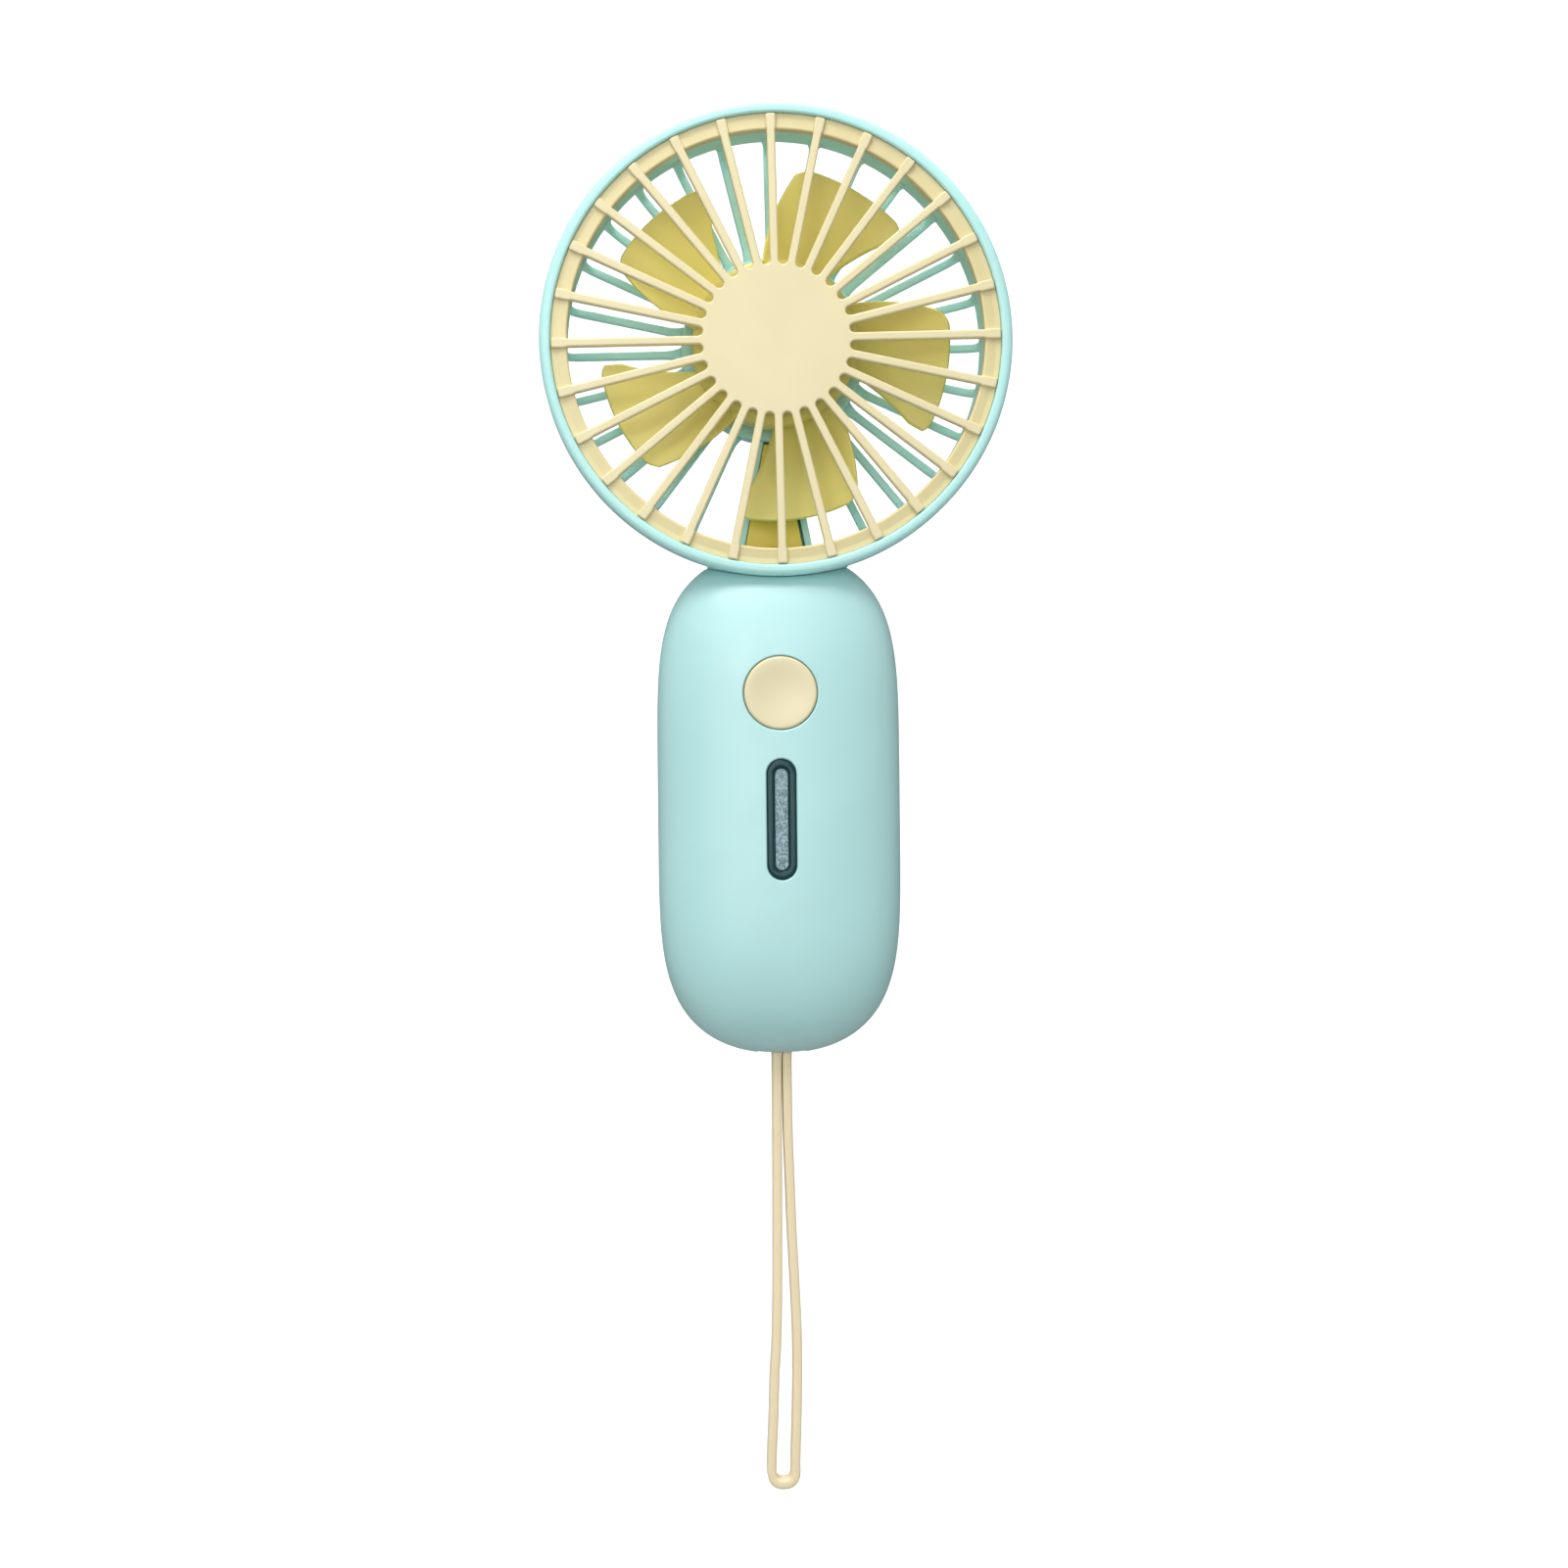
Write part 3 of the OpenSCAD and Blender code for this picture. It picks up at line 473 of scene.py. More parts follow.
def settle(piece):
    """Applies a piece's modifiers to its mesh."""
    bpy.context.view_layer.update()
    graph = bpy.context.evaluated_depsgraph_get()
    final = bpy.data.meshes.new_from_object(piece.evaluated_get(graph))
    piece.modifiers.clear()
    piece.data = final


def cut(mesh, cutter):
    """The mesh less the cutter's solids."""
    body = placed("cut_body", mesh)
    tool = placed("cut_tool", cutter)
    less = body.modifiers.new("less", "BOOLEAN")
    less.operation = "DIFFERENCE"
    less.solver = "EXACT"
    less.object = tool
    settle(body)
    made = body.data
    bpy.data.objects.remove(body)
    bpy.data.objects.remove(tool)
    return made


def softened(mesh, width, steps=3, angle=35):
    """The mesh with its sharp edges rounded; width is in millimetres."""
    body = placed("soft_body", mesh)
    bevel = body.modifiers.new("bevel", "BEVEL")
    bevel.width = width * MM
    bevel.segments = steps
    bevel.limit_method = "ANGLE"
    bevel.angle_limit = math.radians(angle)
    settle(body)
    made = body.data
    bpy.data.objects.remove(body)
    return made


def joined(name, meshes):
    """Several meshes as one."""
    work = bmesh.new()
    for mesh in meshes:
        work.from_mesh(mesh)
    made = bpy.data.meshes.new(name)
    work.to_mesh(made)
    work.free()
    return made


def rounded(outline, steps=5):
    """A closed outline with arcs at its corners; each corner is (across, along, radius)."""
    made = []
    for i, (x, y, radius) in enumerate(outline):
        here = Vector((x, y))
        before = (Vector(outline[i - 1][:2]) - here).normalized()
        after = (Vector(outline[(i + 1) % len(outline)][:2]) - here).normalized()
        half = before.angle(after) / 2
        if not radius:
            made.append((x, y))
            continue
        centre = here + (before + after).normalized() * radius / math.sin(half)
        start = here + before * radius / math.tan(half) - centre
        end = here + after * radius / math.tan(half) - centre
        turn = start.angle(end)
        for k in range(steps + 1):
            t = turn * k / steps
            spoke = (start * math.sin(turn - t) + end * math.sin(t)) / math.sin(turn)
            made.append(tuple(centre + spoke))
    return made


def arc(across, along, radius, first, last, steps):
    """Points on a circle, from one angle in degrees to another."""
    turns = [math.radians(first + (last - first) * k / steps) for k in range(steps + 1)]
    return [(across + radius * math.cos(a), along + radius * math.sin(a)) for a in turns]


def edge_levels(front, back, front_round, back_round, steps=6):
    """(inset, depth) levels of a plate with a rounded front edge and a small one behind."""
    levels = [(back_round, back), (0, back - back_round)]
    for k in range(steps + 1):
        a = math.pi / 2 * k / steps
        levels.append((front_round * (1 - math.cos(a)), front + front_round * (1 - math.sin(a))))
    return levels


def block(low, high):
    """A box between two corners."""
    outline = [(low[0], low[2]), (high[0], low[2]), (high[0], high[2]), (low[0], high[2])]
    return prism(outline, low[1], high[1])


def prism(outline, front, back):
    """An outline of (x, z) between two depths."""
    return Skin().stack(lambda inset: outline, [(0, front), (0, back)]).build("prism")


def rod(x, z, radius, front, back, steps=48):
    """A cylinder along Y."""
    turns = [2 * math.pi * k / steps for k in range(steps)]
    return prism([(x + radius * math.cos(a), z + radius * math.sin(a)) for a in turns], front, back)


def stadium(half, run, centre_z, steps=16, lying=False):
    """An outline(inset) of a slot shape that stands along Z, or lies along X."""

    def outline(inset):
        r = half - inset
        ends = [(run, 0), (-run, math.pi)]
        ring = []
        for middle, first in ends:
            for k in range(steps + 1):
                a = first + math.pi * k / steps
                across, along = r * math.cos(a), middle + r * math.sin(a)
                ring.append((along, centre_z - across) if lying else (across, centre_z + along))
        return ring

    return outline


# ------------------------------------------------------------------ wrist strap


def blend4(p, t):
    """Catmull-Rom blend of four points."""
    return 0.5 * (2 * p[1] + (p[2] - p[0]) * t
                  + (2 * p[0] - 5 * p[1] + 4 * p[2] - p[3]) * t * t
                  + (3 * p[1] - p[0] - 3 * p[2] + p[3]) * t * t * t)


def smooth_route(route, steps):
    """The route with steps points for each of its spans."""
    last = len(route) - 1
    made = [
        blend4([route[max(i - 1, 0)], route[i], route[i + 1], route[min(i + 2, last)]], k / steps)
        for i in range(last)
        for k in range(steps)
    ]
    return made + [route[last]]


def make_strap():
    """A flat silicone strip with rounded edges, folded into a loop round the pin."""
    route = smooth_route([Vector((x, 0, z)) for x, z in STRAP_ROUTE], 6)
    half_t, half_w, corner = STRAP_T / 2, STRAP_W / 2, 0.55
    section = rounded([
        (half_t, -half_w, corner), (half_t, half_w, corner),
        (-half_t, half_w, corner), (-half_t, -half_w, corner),
    ], 4)
    rings = []
    for i, place in enumerate(route):
        along = (route[min(i + 1, len(route) - 1)] - route[max(i - 1, 0)]).normalized()
        side = along.cross(Vector((0, 1, 0)))
        rings.append([place + side * across + Vector((0, depth, 0)) for across, depth in section])
    strip = Skin().loft(rings).build("strap_strip")
    strap = thing("strap_strip", strip, "cream_silicone", 50, False)
    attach(strap, "strap")
    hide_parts("wrist_strap")


make_strap()

# ------------------------------------------------------------------ front grille


def star(inset):
    """The outline of the hub disc and its spokes, set in by a margin, as (x, z)."""
    half = SPOKE_HALF - inset
    end_half = SPOKE_END_HALF - inset
    end_r = RING_R - 0.1 - inset
    corner = max(0.08, 0.45 - inset)
    scallop = HUB_R * math.sin(PITCH / 2) - half
    scallop_steps = 14
    ring = []
    for i in range(SPOKES):
        a = i * PITCH + SPOKE_TURN
        along = Vector((math.cos(a), math.sin(a)))
        side = Vector((-along.y, along.x))
        right = [(39.6, half), (39.9, half + 0.03), (40.2, half + 0.17), (40.5, end_half)]
        right += [(end_r - corner * (1 - math.sin(t)), end_half - corner * (1 - math.cos(t)))
                  for t in (0, math.pi / 8, math.pi / 4, 3 * math.pi / 8, math.pi / 2)]
        for r, w in right:
            ring.append(along * r - side * min(w, end_half))
        for r, w in reversed(right):
            ring.append(along * r + side * min(w, end_half))
        middle = a + PITCH / 2
        centre = Vector((math.cos(middle), math.sin(middle))) * HUB_R
        first = a - math.pi / 2
        sweep = math.pi - PITCH
        for k in range(scallop_steps + 1):
            t = first - sweep * k / scallop_steps
            ring.append(centre + Vector((math.cos(t), math.sin(t))) * scallop)
    return [(p.x, HEAD_Z + p.y) for p in ring]


def make_front_grille():
    """Hub disc with round-crested spokes that run out over the ring."""
    plate = Skin().stack(star, edge_levels(HUB_FACE, HUB_BACK, 0.38, 0.12)).build("star")
    ring = Skin().lathe(rounded([
        (RING_INNER_R, LEDGE_Y, 0.15), (RING_INNER_R, RING_FACE - 0.7, 0.4),
        (42, RING_FACE - 0.35, 0.5),
        (RING_R, RING_FACE - 0.35, 0.15), (RING_R, LEDGE_Y, 0.1),
    ]), HEAD_Z, 224).build("ring")
    lugs = []
    for i in range(4):
        a = math.radians(45 + 90 * i)
        lug = block((-2, LEDGE_Y - 0.1, 40.2), (2, LEDGE_Y + 2.9, 41.1))
        lug.transform(Matrix.Translation((0, 0, HEAD_Z * MM)) @ Matrix.Rotation(a, 4, "Y"))
        lugs.append(softened(lug, 0.2))
    parts = [
        thing("front_grille_star", plate, "cream_plastic"),
        # the ring takes the browner cream that paints shade on it
        thing("front_grille_ring", joined("front_grille_ring", [ring, *lugs]), "shaded_ring_plastic"),
    ]
    for part in parts:
        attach(part, "fan_body")
        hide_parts("front_grille")


make_front_grille()

# ------------------------------------------------------------------ rear housing


def make_rim():
    """The head's rim: a rounded front lip, a ledge for the grille, and a tapered wall."""
    front = RIM_FRONT + 0.1
    profile = rounded([
        (HEAD_R, front, 1.1), (LIP_R, front, 0.55), (LIP_R, LEDGE_Y, 0),
        (HEAD_R - 2.9, LEDGE_Y, 0.15), (40, 1, 0.3), (42.2, 1, 0.8), (HEAD_R, LEDGE_Y + 2, 2.2),
    ], 9)
    return Skin().lathe(profile, HEAD_Z, 288).build("rim")


def rear_spoke_stations():
    """(inner point, outer point, width) stations of a J-shaped spoke, each point (r, depth)."""
    out_r, in_r = 42.0, 40.4
    out_bend, in_bend = 4.2, 2.4
    upright = (-1, 1, 2.6, 3.8)
    outer = [(out_r, y) for y in upright] + arc(out_r - out_bend, 5, out_bend, 0, 90, 10)
    inner = [(in_r, y) for y in upright] + arc(in_r - in_bend, 4.6, in_bend, 0, 90, 10)
    widths = [3.6, 3.4, 2.9, 2.5] + [2.3, 2.1, 1.9, 1.75, 1.65, 1.55] + [1.5] * 5
    radial = [(30, 1.5), (24, 1.5), (21, 1.55), (19.6, 1.8), (18.6, 2.4), (17.4, 3.2)]
    outer += [(r, REAR_BACK) for r, _ in radial]
    inner += [(r, REAR_FACE) for r, _ in radial]
    widths += [w for _, w in radial]
    return list(zip(inner, outer, widths))


def make_rear_spoke(angle):
    """One J-shaped spoke of rounded section at an angle about the fan's axis."""
    along = Vector((math.cos(angle), 0, math.sin(angle)))
    side = Vector((-along.z, 0, along.x))
    rings = []
    for low, high, width in rear_spoke_stations():
        near = along * low[0] + Vector((0, low[1], 0))
        far = along * high[0] + Vector((0, high[1], 0))
        depth = (far - near).length
        across = (far - near) / depth
        half, corner = width / 2, 0.4
        section = rounded([
            (0, -half, corner), (depth, -half, corner), (depth, half, corner), (0, half, corner),
        ], 3)
        rings.append([near + across * d + side * w + Vector((0, 0, HEAD_Z)) for d, w in section])
    return rings


def make_collar():
    """The wedge between the rim's taper and the handle, on both sides of the channel."""
    outer_r = HEAD_R + 0.05
    section = [(outer_r, LEDGE_Y + 1.6), (outer_r, 1), (42.1, 1)]
    rings = []
    for k in range(25):
        a = math.radians(-90 + COLLAR_HALF_ANGLE * (k / 12 - 1))
        rings.append([(r * math.cos(a), y, HEAD_Z + r * math.sin(a)) for r, y in section])
    return Skin().loft(rings).build("collar")


def channel_half(z):
    """Half the width of the wire channel's taper at a height."""
    return CHANNEL_SLOPE * (HEAD_Z - z)


def channel_outline(low_z, high_z, left, right):
    """The taper between the channel's walls, set in from each, as (x, z)."""
    return [
        (left - channel_half(low_z), low_z), (channel_half(low_z) - right, low_z),
        (channel_half(high_z) - right, high_z), (left - channel_half(high_z), high_z),
    ]


def make_rear_housing():
    """Rim, rear spokes, motor seat, wire channel and neck, moulded as one."""
    spokes = Skin()
    for i in range(SPOKES):
        if abs(i - DOWN) > 1:
            spokes.loft(make_rear_spoke(i * PITCH + SPOKE_TURN))
    seat = Skin().lathe(rounded([
        (SHAFT_HOLE_R, SEAT_FRONT, 0), (SEAT_R, SEAT_FRONT, 0.3), (SEAT_R, REAR_HUB_FRONT, 0.25),
        (REAR_HUB_R, REAR_HUB_FRONT, 0.6), (REAR_HUB_R, SEAT_BACK, 0.5),
        (SHAFT_HOLE_R, SEAT_BACK, 0),
    ]), HEAD_Z, 160).build("seat")
    seat = cut(seat, joined("seat_cuts", [
        rod(-8, HEAD_Z, 1.1, 8, 12), rod(8, HEAD_Z, 1.1, 8, 12),
        block((-2.3, 5.9, HEAD_Z - 19.5), (2.3, SEAT_FRONT, HEAD_Z - 9)),
    ]))
    outside = channel_outline(HEAD_Z - 42.2, HEAD_Z - 17.2, 0, 0)
    inside = channel_outline(cover_low.z - 0.2, HEAD_Z - 17, CHANNEL_WALL, CHANNEL_WALL)
    channel = prism(outside, CHANNEL_FRONT, CHANNEL_BACK)
    channel = softened(cut(channel, prism(inside, 3.6, 8.1)), 0.25)
    foot = softened(block((-5.9, -2, HEAD_Z - 44.8), (5.9, CHANNEL_BACK, HEAD_Z - 41.6)), 0.5)
    neck = block((-NECK_HALF_W, -NECK_HALF_D, 37), (NECK_HALF_W, NECK_HALF_D, 44.4))
    flange = block((-9.5, -NECK_HALF_D, 36.4), (9.5, NECK_HALF_D, 38.4))
    passage = block((-2.4, -1.6, 35), (2.4, 1.6, 45.6))
    meshes = [make_rim(), make_collar(), spokes.build("spokes"), seat, channel, foot]
    meshes += [softened(cut(part, passage.copy()), 0.2) for part in (neck, flange)]
    moulding = joined("rear_housing_moulding", meshes)
    # The moulding wears the lighter mint that paints light onto the rim and rear spokes.
    housing = thing("rear_housing_moulding", moulding, "lightened_housing_plastic")
    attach(housing, "fan_body")
    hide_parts("rear_housing")


make_rear_housing()


def make_channel_cover():
    """Plate over the wire channel, with a ledge at its lower end and two clip legs."""
    left, right = CHANNEL_WALL + 0.1, CHANNEL_WALL + 0.55
    plate = prism(channel_outline(cover_low.z, cover_high.z, left, right), CHANNEL_FRONT, 5.7)
    ledge = prism(channel_outline(cover_low.z, cover_low.z + 1.6, left, right), 4.0, 4.9)
    legs = [block((x, 5.5, 52), (x + 0.6, 8.0, 64)) for x in (-2.4, 1.8)]
    meshes = [softened(part, 0.15) for part in (plate, ledge, *legs)]
    cover = thing("channel_cover_plate", joined("channel_cover_plate", meshes), "cover_plastic")
    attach(cover, "fan_body")
    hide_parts("wire_channel_cover")


make_channel_cover()


def make_hub_cap():
    """Low domed cap behind the motor seat, with a shallow ring groove."""
    back = cap_high.y
    profile = [(0, SEAT_BACK), (13.3, SEAT_BACK), (13.6, SEAT_BACK + 0.3)]
    profile += arc(12.7, back - 1.25, 0.9, 0, 78, 8)
    profile += [(11.6, back - 0.24), (11.3, back - 0.34), (10.9, back - 0.34), (10.6, back - 0.2)]
    profile += [(8, back - 0.08), (4, back - 0.01), (0, back)]
    dome = Skin().lathe(profile, HEAD_Z, 128).build("hub_cap_dome")
    cap = thing("hub_cap_dome", dome, "mint_plastic", weighted=False)
    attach(cap, "fan_body")
    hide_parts("rear_hub_cap")


make_hub_cap()

# ------------------------------------------------------------------ impeller


def tip_r(u):
    """A blade's tip radius across its chord: cut back at the front corner, rounded behind."""
    return BLADE_TIP - 1.3 * max(0, 1 - u / 0.1) ** 2 - 0.9 * max(0, (u - 0.9) / 0.1) ** 2


def blade_point(u, v):
    """A point on a blade's middle surface: radius, angle and depth."""
    r = BLADE_ROOT + (tip_r(u) - BLADE_ROOT) * v
    left = -0.95 * (BLADE_TIP - r)
    right = 39.5 - 0.75 * max(0, 30 - r)
    angle = math.radians(left + (right - left) * u)
    depth = BLADE_MID + (8.6 - 3.4 * v) * (u - 0.5) + 0.9 * (1 - (2 * u - 1) ** 2)
    return r, angle, depth, math.radians(right - left)


def spread(count):
    """Values from 0 to 1, closer together at both ends."""
    steps = [k / count for k in range(count + 1)]
    return [0.5 * t + 0.25 * (1 - math.cos(math.pi * t)) for t in steps]


def make_blade(skin, turn):
    """One twisted blade with rounded edges and a root that thickens into the hub."""
    edge_run = 0.55
    base = len(skin.points)
    across, along = spread(44), spread(34)
    row = len(across)
    for face in (-1, 1):
        for v in along:
            for u in across:
                r, angle, depth, chord = blade_point(u, v)
                margin = min(u, 1 - u) * chord * r
                margin = min(margin, (1 - v) * (BLADE_TIP - BLADE_ROOT))
                round_off = math.sqrt(max(0, 1 - (1 - min(margin / edge_run, 1)) ** 2))
                thick = BLADE_HALF_THICK * (0.2 + 0.8 * round_off)
                thick += 0.8 * math.exp(-(r - BLADE_ROOT) / 0.7)
                a = angle + turn
                across_fan, up = r * math.cos(a), HEAD_Z - r * math.sin(a)
                skin.points.append((across_fan, depth + face * thick, up))
    count = row * len(along)
    for j in range(len(along) - 1):
        for i in range(row - 1):
            a = base + j * row + i
            skin.faces.append((a, a + row, a + row + 1, a + 1))
            skin.faces.append((a + count, a + count + 1, a + count + row + 1, a + count + row))
    rim = list(range(row))
    rim += [j * row + row - 1 for j in range(1, len(along))]
    rim += [(len(along) - 1) * row + i for i in range(row - 2, -1, -1)]
    rim += [j * row for j in range(len(along) - 2, 0, -1)]
    for a, b in zip(rim, rim[1:] + rim[:1]):
        skin.faces.append((base + a, base + b, base + b + count, base + a + count))


def make_impeller():
    """Hub cup on the motor shaft with five blades."""
    front = IMPELLER_FRONT
    hub = [(0, front)] + arc(ROTOR_R - 3, front + 3, 3, -90, 0, 14)
    hub += [(ROTOR_R, 1.8), (ROTOR_R - 0.2, 2), (ROTOR_R - 0.9, 2), (ROTOR_R - 1.1, 1.8)]
    hub += [(ROTOR_R - 1.1, front + 3.2), (ROTOR_R - 3, front + 1.2), (BOSS_R, front + 1.2)]
    hub += [(BOSS_R, -5.8), (BORE_R, -5.8), (BORE_R, -8.4), (0, -8.4)]
    cup = Skin().lathe(hub, HEAD_Z, 144).build("cup")
    blades = Skin()
    for k in range(BLADES):
        make_blade(blades, BLADE_PHASE + k * 2 * math.pi / BLADES)
    moulding = joined("impeller_moulding", [cup, blades.build("blades")])
    impeller = thing("impeller_moulding", moulding, "blade_plastic", 45, False)
    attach(impeller, "rotor")
    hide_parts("impeller")


make_impeller()

# ------------------------------------------------------------------ handle shells


def signed_power(value, exponent):
    """A value's size to a power, with the value's sign."""
    return math.copysign(abs(value) ** exponent, value)


def pebble_point(angle, s, set_in=0):
    """A point on the handle's outside, or set in from it; s runs from -1 to 1 up the handle."""
    k = max(0, 1 - abs(s) ** END_POWER) ** (1 / END_ROOT)
    return Vector((
        (HALF_W - set_in) * k * signed_power(math.cos(angle), 2 / SECTION_POWER),
        (HALF_D - set_in) * k * signed_power(math.sin(angle), 2 / SECTION_POWER),
        (HALF_H - set_in) * s,
    ))


def pebble_error(p):
    """Zero on the handle's outside, negative within it."""
    k = max(1e-9, 1 - abs(p.z / HALF_H) ** END_POWER) ** (1 / END_ROOT)
    return abs(p.x / (HALF_W * k)) ** SECTION_POWER + abs(p.y / (HALF_D * k)) ** SECTION_POWER - 1


def pebble_normal(p):
    """The outward direction of the handle's surface at a point on it."""
    s = p.z / HALF_H
    body = max(1e-9, 1 - abs(s) ** END_POWER)
    k = body ** (1 / END_ROOT)
    slope = -END_POWER * signed_power(s, END_POWER - 1) * body ** (1 / END_ROOT - 1)
    slope = slope / END_ROOT / HALF_H
    power = SECTION_POWER
    return Vector((
        power * signed_power(p.x, power - 1) / (HALF_W * k) ** power,
        power * signed_power(p.y, power - 1) / (HALF_D * k) ** power,
        -power * slope / k * (pebble_error(p) + 1),
    )).normalized()


def face_depth(x, z, side):
    """The depth of the handle's front (side -1) or back (side 1) surface above (x, z)."""
    k = max(0, 1 - abs(z / HALF_H) ** END_POWER) ** (1 / END_ROOT)
    rest = max(0, 1 - abs(x / (HALF_W * k)) ** SECTION_POWER)
    return side * HALF_D * k * rest ** (1 / SECTION_POWER)


def saddle_height(x, radius):
    """How high the saddle, a circle about the fan's axis, stands at x."""
    return HEAD_Z - math.sqrt(radius * radius - x * x)


def crossing(angle, set_in, radius):
    """How far up the handle, as s, its surface meets the saddle."""
    low, high = 0.5, 0.9999
    for _ in range(40):
        s = (low + high) / 2
        p = pebble_point(angle, s, set_in)
        if p.z < saddle_height(p.x, radius):
            low = s
        else:
            high = s
    return low


def shell_column(angle, set_in):
    """Points from the bottom pole, up the side, over the saddle's edge and in to its middle."""
    radius = SADDLE_R if set_in == 0 else SADDLE_R + WALL
    top = crossing(angle, set_in, radius)
    column = []
    bottom_steps, side_steps, saddle_steps = 26, 60, 14
    for k in range(bottom_steps + 1):
        s = -((1 - (0.92 * k / bottom_steps) ** END_ROOT) ** (1 / END_POWER))
        column.append(pebble_point(angle, s, set_in))
    start = column[-1].z / (HALF_H - set_in)
    side_top = top - SADDLE_ROUND_DOWN / HALF_H
    for k in range(1, side_steps + 1):
        t = k / side_steps
        s = start + (side_top - start) * (0.55 * t + 0.45 * math.sin(math.pi / 2 * t))
        column.append(pebble_point(angle, s, set_in))
    before, edge = column[-1], pebble_point(angle, top, set_in)
    shrink = 1 - SADDLE_ROUND_IN / math.hypot(edge.x, edge.y)
    after = Vector((edge.x * shrink, edge.y * shrink, saddle_height(edge.x * shrink, radius)))
    for t in (0.15, 0.3, 0.45, 0.6, 0.8, 1):
        column.append(before * (1 - t) ** 2 + edge * 2 * t * (1 - t) + after * t * t)
    for k in range(1, saddle_steps + 1):
        t = 1 - k / saddle_steps
        x = after.x * t
        column.append(Vector((x, after.y * t, saddle_height(x, radius))))
    return column


def make_half_shell(side):
    """A closed half of the handle: side -1 is the front. Its parting edge has a small groove."""
    angles = [0.0, 0.0025]
    angles += [0.012 + (math.pi / 2 - 0.012) * (k / 40) ** 1.15 for k in range(41)]
    angles += [math.pi - a for a in reversed(angles[:-1])]
    turns = [side * a for a in angles]
    outer = [shell_column(a, 0) for a in turns]
    inner = [shell_column(a, WALL) for a in turns]
    for column in (outer[0], outer[-1]):
        for p in column:
            reach = abs(p.x)
            if reach > 1:
                p.x *= 1 - PARTING_GROOVE / reach
            p.y = 0
    for column in (inner[0], inner[-1]):
        for p in column:
            p.y = 0
    skin = Skin()
    size = len(outer[0])
    for column in outer + inner:
        skin.points.extend(column)
    half = len(outer) * size
    for j in range(len(outer) - 1):
        for i in range(size - 1):
            a = j * size + i
            skin.faces.append((a, a + 1, a + size + 1, a + size))
            skin.faces.append((half + a, half + a + size, half + a + size + 1, half + a + 1))
    for a0 in (0, (len(outer) - 1) * size):
        for i in range(size - 1):
            a = a0 + i
            skin.faces.append((a, a + 1, half + a + 1, half + a))
    return skin.build("half_shell")


def surface_cutter(outline, side, chamfer, floor):
    """A cutter with an outline(inset), its chamfer following the handle's surface, and a floor."""
    clear = 1.2
    levels = [(-chamfer - clear, clear), (-chamfer, 0.0)]
    levels += [(-chamfer * 0.45, -chamfer * 0.3), (0, -chamfer)]
    rings = []
    for inset, lift in levels:
        rings.append([(x, face_depth(x, z, side) + side * lift, z) for x, z in outline(inset)])
    rings.append([(x, floor, z) for x, z in outline(0)])
    return Skin().loft(rings).build("cutter")


def circle(x, z, radius, steps=64):
    """An outline(inset) of a round hole."""

    def outline(inset):
        turns = [2 * math.pi * k / steps for k in range(steps)]
        r = radius - inset
        return [(x + r * math.cos(a), z + r * math.sin(a)) for a in turns]

    return outline


def shade_shell(piece):
    """Gives the outside of a shell the true direction of its form, so that cuts leave no mark."""
    mesh = piece.data
    normals = [Vector(c.vector) for c in mesh.corner_normals]
    for face in mesh.polygons:
        for c in face.loop_indices:
            p = mesh.vertices[mesh.loops[c].vertex_index].co / MM
            if abs(p.z) < HALF_H - 0.02 and abs(pebble_error(p)) < 0.004:
                true = pebble_normal(p)
                if true.dot(face.normal) > 0.94:
                    normals[c] = true
    mesh.normals_split_custom_set(normals)


def make_handle_shell(name, side, replaced):
    """One moulded half of the handle, with its holes cut."""
    mesh = make_half_shell(side)
    strap_slot = Skin().loft([
        [(x, y, z) for x, z in ((-3.4, PIN_Z + 1.2), (3.4, PIN_Z + 1.2), (5, -49.5), (-5, -49.5))]
        for y in (-3.2, 3.2)
    ]).build("strap_slot")
    gap_w, gap_d = NECK_HALF_W + NECK_GAP, NECK_HALF_D + NECK_GAP
    cutters = [block((-gap_w, -gap_d, 36), (gap_w, gap_d, 46)), strap_slot]
    screws = [(x, z) for x in (-SCREW_X, SCREW_X) for z in (-SCREW_Z, SCREW_Z)]
    if side < 0:
        post_ends = (-POST_FRONT, 0.0)
        button_hole = circle(0, BUTTON_Z, BUTTON_R + 0.1, 96)
        window_hole = stadium(WINDOW_HALF + 0.05, WINDOW_RUN, WINDOW_Z)
        for hole in (button_hole, window_hole):
            cutters.append(surface_cutter(hole, side, chamfer=0.3, floor=-10))
    else:
        post_ends = (0.0, POST_BACK)
        for x, z in screws:
            screw_hole = circle(x, z, SCREW_HOLE_R, 48)
            cutters.append(surface_cutter(screw_hole, side, chamfer=0.15, floor=SCREW_SEAT))
        port_hole = stadium(PORT_HALF, PORT_RUN, PORT_Z, lying=True)
        cutters.append(surface_cutter(port_hole, side, chamfer=0.2, floor=3.3))
    mesh = cut(mesh, joined("cutters", cutters))
    posts = [rod(x, z, POST_R, *post_ends) for x, z in screws]
    shell = thing(name, joined(name, [mesh, *posts]), "mint_plastic", weighted=False)
    shade_shell(shell)
    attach(shell, "fan_body")
    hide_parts(replaced)


make_handle_shell("handle_shell_front", -1, "handle_front_shell")
make_handle_shell("handle_shell_back", 1, "handle_back_shell")

# ------------------------------------------------------------------ controls


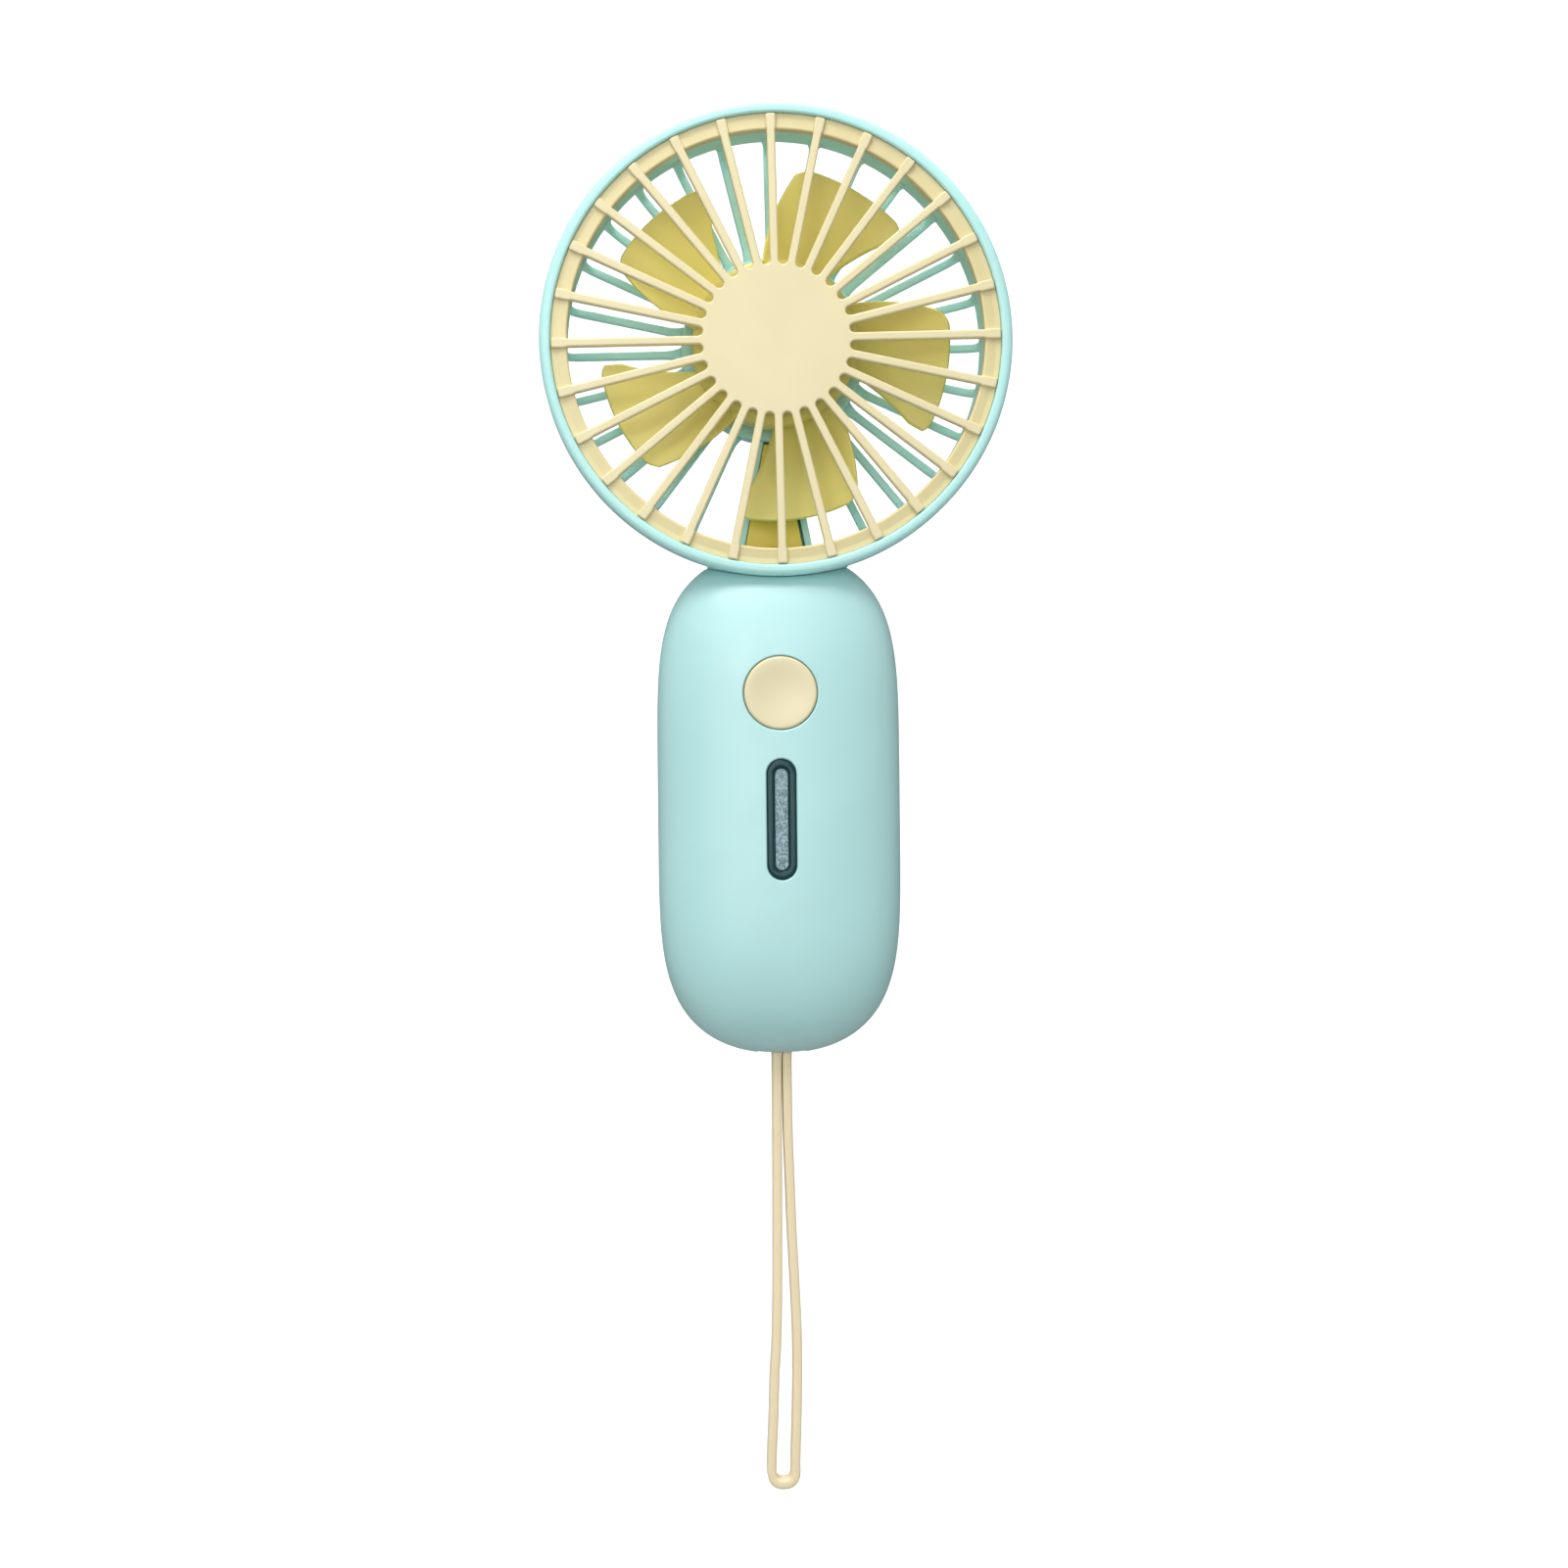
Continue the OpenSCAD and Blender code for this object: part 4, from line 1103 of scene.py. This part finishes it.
def make_button():
    """Round cap, dished across its face, with a rolled edge."""
    face = button_low.y
    dish, dish_r = 0.42, 6.1
    flange_r, flange_front, flange_back = BUTTON_R + 0.8, -11.45, -10.8
    inside_r, inside_face = BUTTON_R - 1.3, face + 1.6
    stem_r, stem_end = 2, -12.03
    profile = [(r, face + dish * (1 - (r / dish_r) ** 2) ** 1.5)
               for r in (0, 1, 2, 3, 4, 4.8, 5.4, 5.8, 6.05)]
    profile += arc(BUTTON_R - 0.55, face + 0.5, 0.5, -100, 0, 8)
    profile += rounded([
        (BUTTON_R - 0.05, flange_front, 0.1), (flange_r, flange_front, 0.1),
        (flange_r, flange_back, 0.1), (inside_r, flange_back, 0.1),
        (inside_r, inside_face, 0), (stem_r, inside_face, 0),
    ], 3)
    profile += [(stem_r, stem_end), (0, stem_end)]
    moulding = Skin().lathe(profile, BUTTON_Z, 160).build("power_button_cap")
    cap = thing("power_button_cap", moulding, "button_plastic", weighted=False)
    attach(cap, "button")
    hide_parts("power_button")


make_button()


def make_window():
    """Dark bezel round the light, with a slot through it and rolled edges."""
    face, foot = window_low.y, window_high.y
    half = WINDOW_HALF - 0.02
    width = half - (LIGHT_HALF + 0.06)
    flange, flange_front = 1.1, -12
    outer_round, inner_round = 0.35, 0.45
    turns = [math.pi * k / 8 for k in range(5)]
    levels = [(0, foot), (-flange, foot), (-flange, flange_front), (0, flange_front)]
    levels += [(outer_round * (1 - math.cos(a)), face + outer_round * (1 - math.sin(a)))
               for a in turns]
    levels += [(width - inner_round * (1 - math.cos(a)), face + inner_round * (1 - math.sin(a)))
               for a in reversed(turns)]
    levels += [(width, foot)]
    rings = []
    for inset, y in levels:
        shorter = WINDOW_RUN - (WINDOW_RUN - LIGHT_RUN) * max(0, min(1, inset / width))
        ring = stadium(half, shorter, WINDOW_Z)(inset)
        rings.append([(x, y, z) for x, z in ring])
    frame_ring = Skin().loft(rings, wrap=True).build("window_bezel")
    bezel = thing("window_bezel", frame_ring, "smoked_window")
    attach(bezel, "fan_body")
    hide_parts("indicator_window")
    guide = Skin().stack(stadium(LIGHT_HALF, LIGHT_RUN, WINDOW_Z),
                         edge_levels(light_low.y, light_high.y, 0.4, 0.1)).build("light_guide")
    light = thing("light_guide", guide, "frosted_diffuser")
    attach(light, "fan_body")
    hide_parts("light_diffuser")


make_window()

# ------------------------------------------------------------------ carried-over CAD nodes

NODE_SLOTS = {
    "steel": ["motor_shaft", "motor_can", "motor_screws", "shell_screws", "board_screws",
              "usb_receptacle", "battery_tabs", "lanyard_pin", "switch_body"],
    "laminated_iron": ["motor_armature"],
    "copper": ["motor_windings", "motor_commutator", "motor_brushes"],
    "magnet": ["motor_magnets"],
    "white_plastic": ["motor_end_cap"],
    "bronze": ["motor_bushings", "motor_terminals"],
    "red_insulation": ["motor_leads", "charging_leads"],
    "black_insulation": ["battery_leads"],
    "black_plastic": ["switch_plunger", "usb_tongue", "board_components"],
    "circuit_green": ["circuit_board", "charging_board"],
    "cell_can": ["battery_cell"],
    "cell_wrap": ["battery_wrap"],
    "foam": ["battery_foam"],
    "frosted_diffuser": ["indicator_leds"],
}
for slot, names in NODE_SLOTS.items():
    for name in names:
        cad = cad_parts[name]
        for place in cad.material_slots:
            place.material = MATERIALS[slot]

# ------------------------------------------------------------------ studio


def area_light(name, place, target, size, power):
    """A soft white rectangular light at a place, in metres, aimed at a target."""
    data = bpy.data.lights.new(name, "AREA")
    data.shape = "RECTANGLE"
    data.size, data.size_y = size
    data.energy = power
    light = placed(name, data)
    light.location = place
    light.rotation_euler = (Vector(target) - Vector(place)).to_track_quat("-Z", "Y").to_euler()


def make_world(below, above):
    """White to the camera; as a light it is stronger from above than from below."""
    white = 1.25  # the backdrop's own colour is 0.8
    world = bpy.data.worlds.new("studio")
    bpy.context.scene.world = world
    world.use_nodes = True
    tree = world.node_tree
    tree.nodes.clear()
    place = node(tree, "ShaderNodeTexCoord")
    parts = node(tree, "ShaderNodeSeparateXYZ")
    tree.links.new(place.outputs["Generated"], parts.inputs["Vector"])
    level = mapped(tree, parts.outputs["Z"], below, above, -0.8, 0.8)
    path = node(tree, "ShaderNodeLightPath")
    seen = node(tree, "ShaderNodeMix")
    seen.inputs[3].default_value = white
    tree.links.new(path.outputs["Is Camera Ray"], seen.inputs["Factor"])
    tree.links.new(level, seen.inputs[2])
    backdrop = node(tree, "ShaderNodeBackground")
    output = node(tree, "ShaderNodeOutputWorld")
    tree.links.new(seen.outputs[0], backdrop.inputs["Strength"])
    tree.links.new(backdrop.outputs["Background"], output.inputs["Surface"])


def make_floor(height):
    """A plain floor, curved up behind: white to the camera, and grey in the light it returns."""
    skin = Skin()
    profile = [(-1600, height)] + [(y, z + height) for y, z in arc(1400, 900, 900, -90, 0, 24)]
    profile += [(2300, 2600)]
    rings = [[(x, y, z) for y, z in profile] for x in (-3000, 3000)]
    base = len(profile)
    skin.points = rings[0] + rings[1]
    skin.faces = [(k, k + 1, base + k + 1, base + k) for k in range(base - 1)]
    floor = placed("floor", skin.build("floor"))
    made, tree, shader = shader_of("floor", (0.35, 0.35, 0.35), 0.8)
    path = node(tree, "ShaderNodeLightPath")
    shader.inputs["Emission Color"].default_value = (1, 1, 1, 1)
    tree.links.new(path.outputs["Is Camera Ray"], shader.inputs["Emission Strength"])
    floor.data.materials.append(made)
    floor.data.polygons.foreach_set("use_smooth", [True] * len(floor.data.polygons))


WORLD_BELOW = 0.16
WORLD_ABOVE = 0.95
FLOOR_Z = -420
make_world(WORLD_BELOW, WORLD_ABOVE)
make_floor(FLOOR_Z)
area_light("key", (-0.16, -0.38, 0.60), (0, 0, 0.03), (0.4, 0.3), 2.55)
area_light("front", (-0.2, -1.08, 0.2), (0, 0, -0.02), (0.7, 0.6), 3.7)
area_light("top", (0, -0.05, 0.85), (0, 0, 0.05), (0.5, 0.5), 2.2)
area_light("back", (0, 0.5, 0.62), (0, 0, 0.07), (0.5, 0.4), 3.6)
bpy.context.scene.view_settings.view_transform = "Standard"
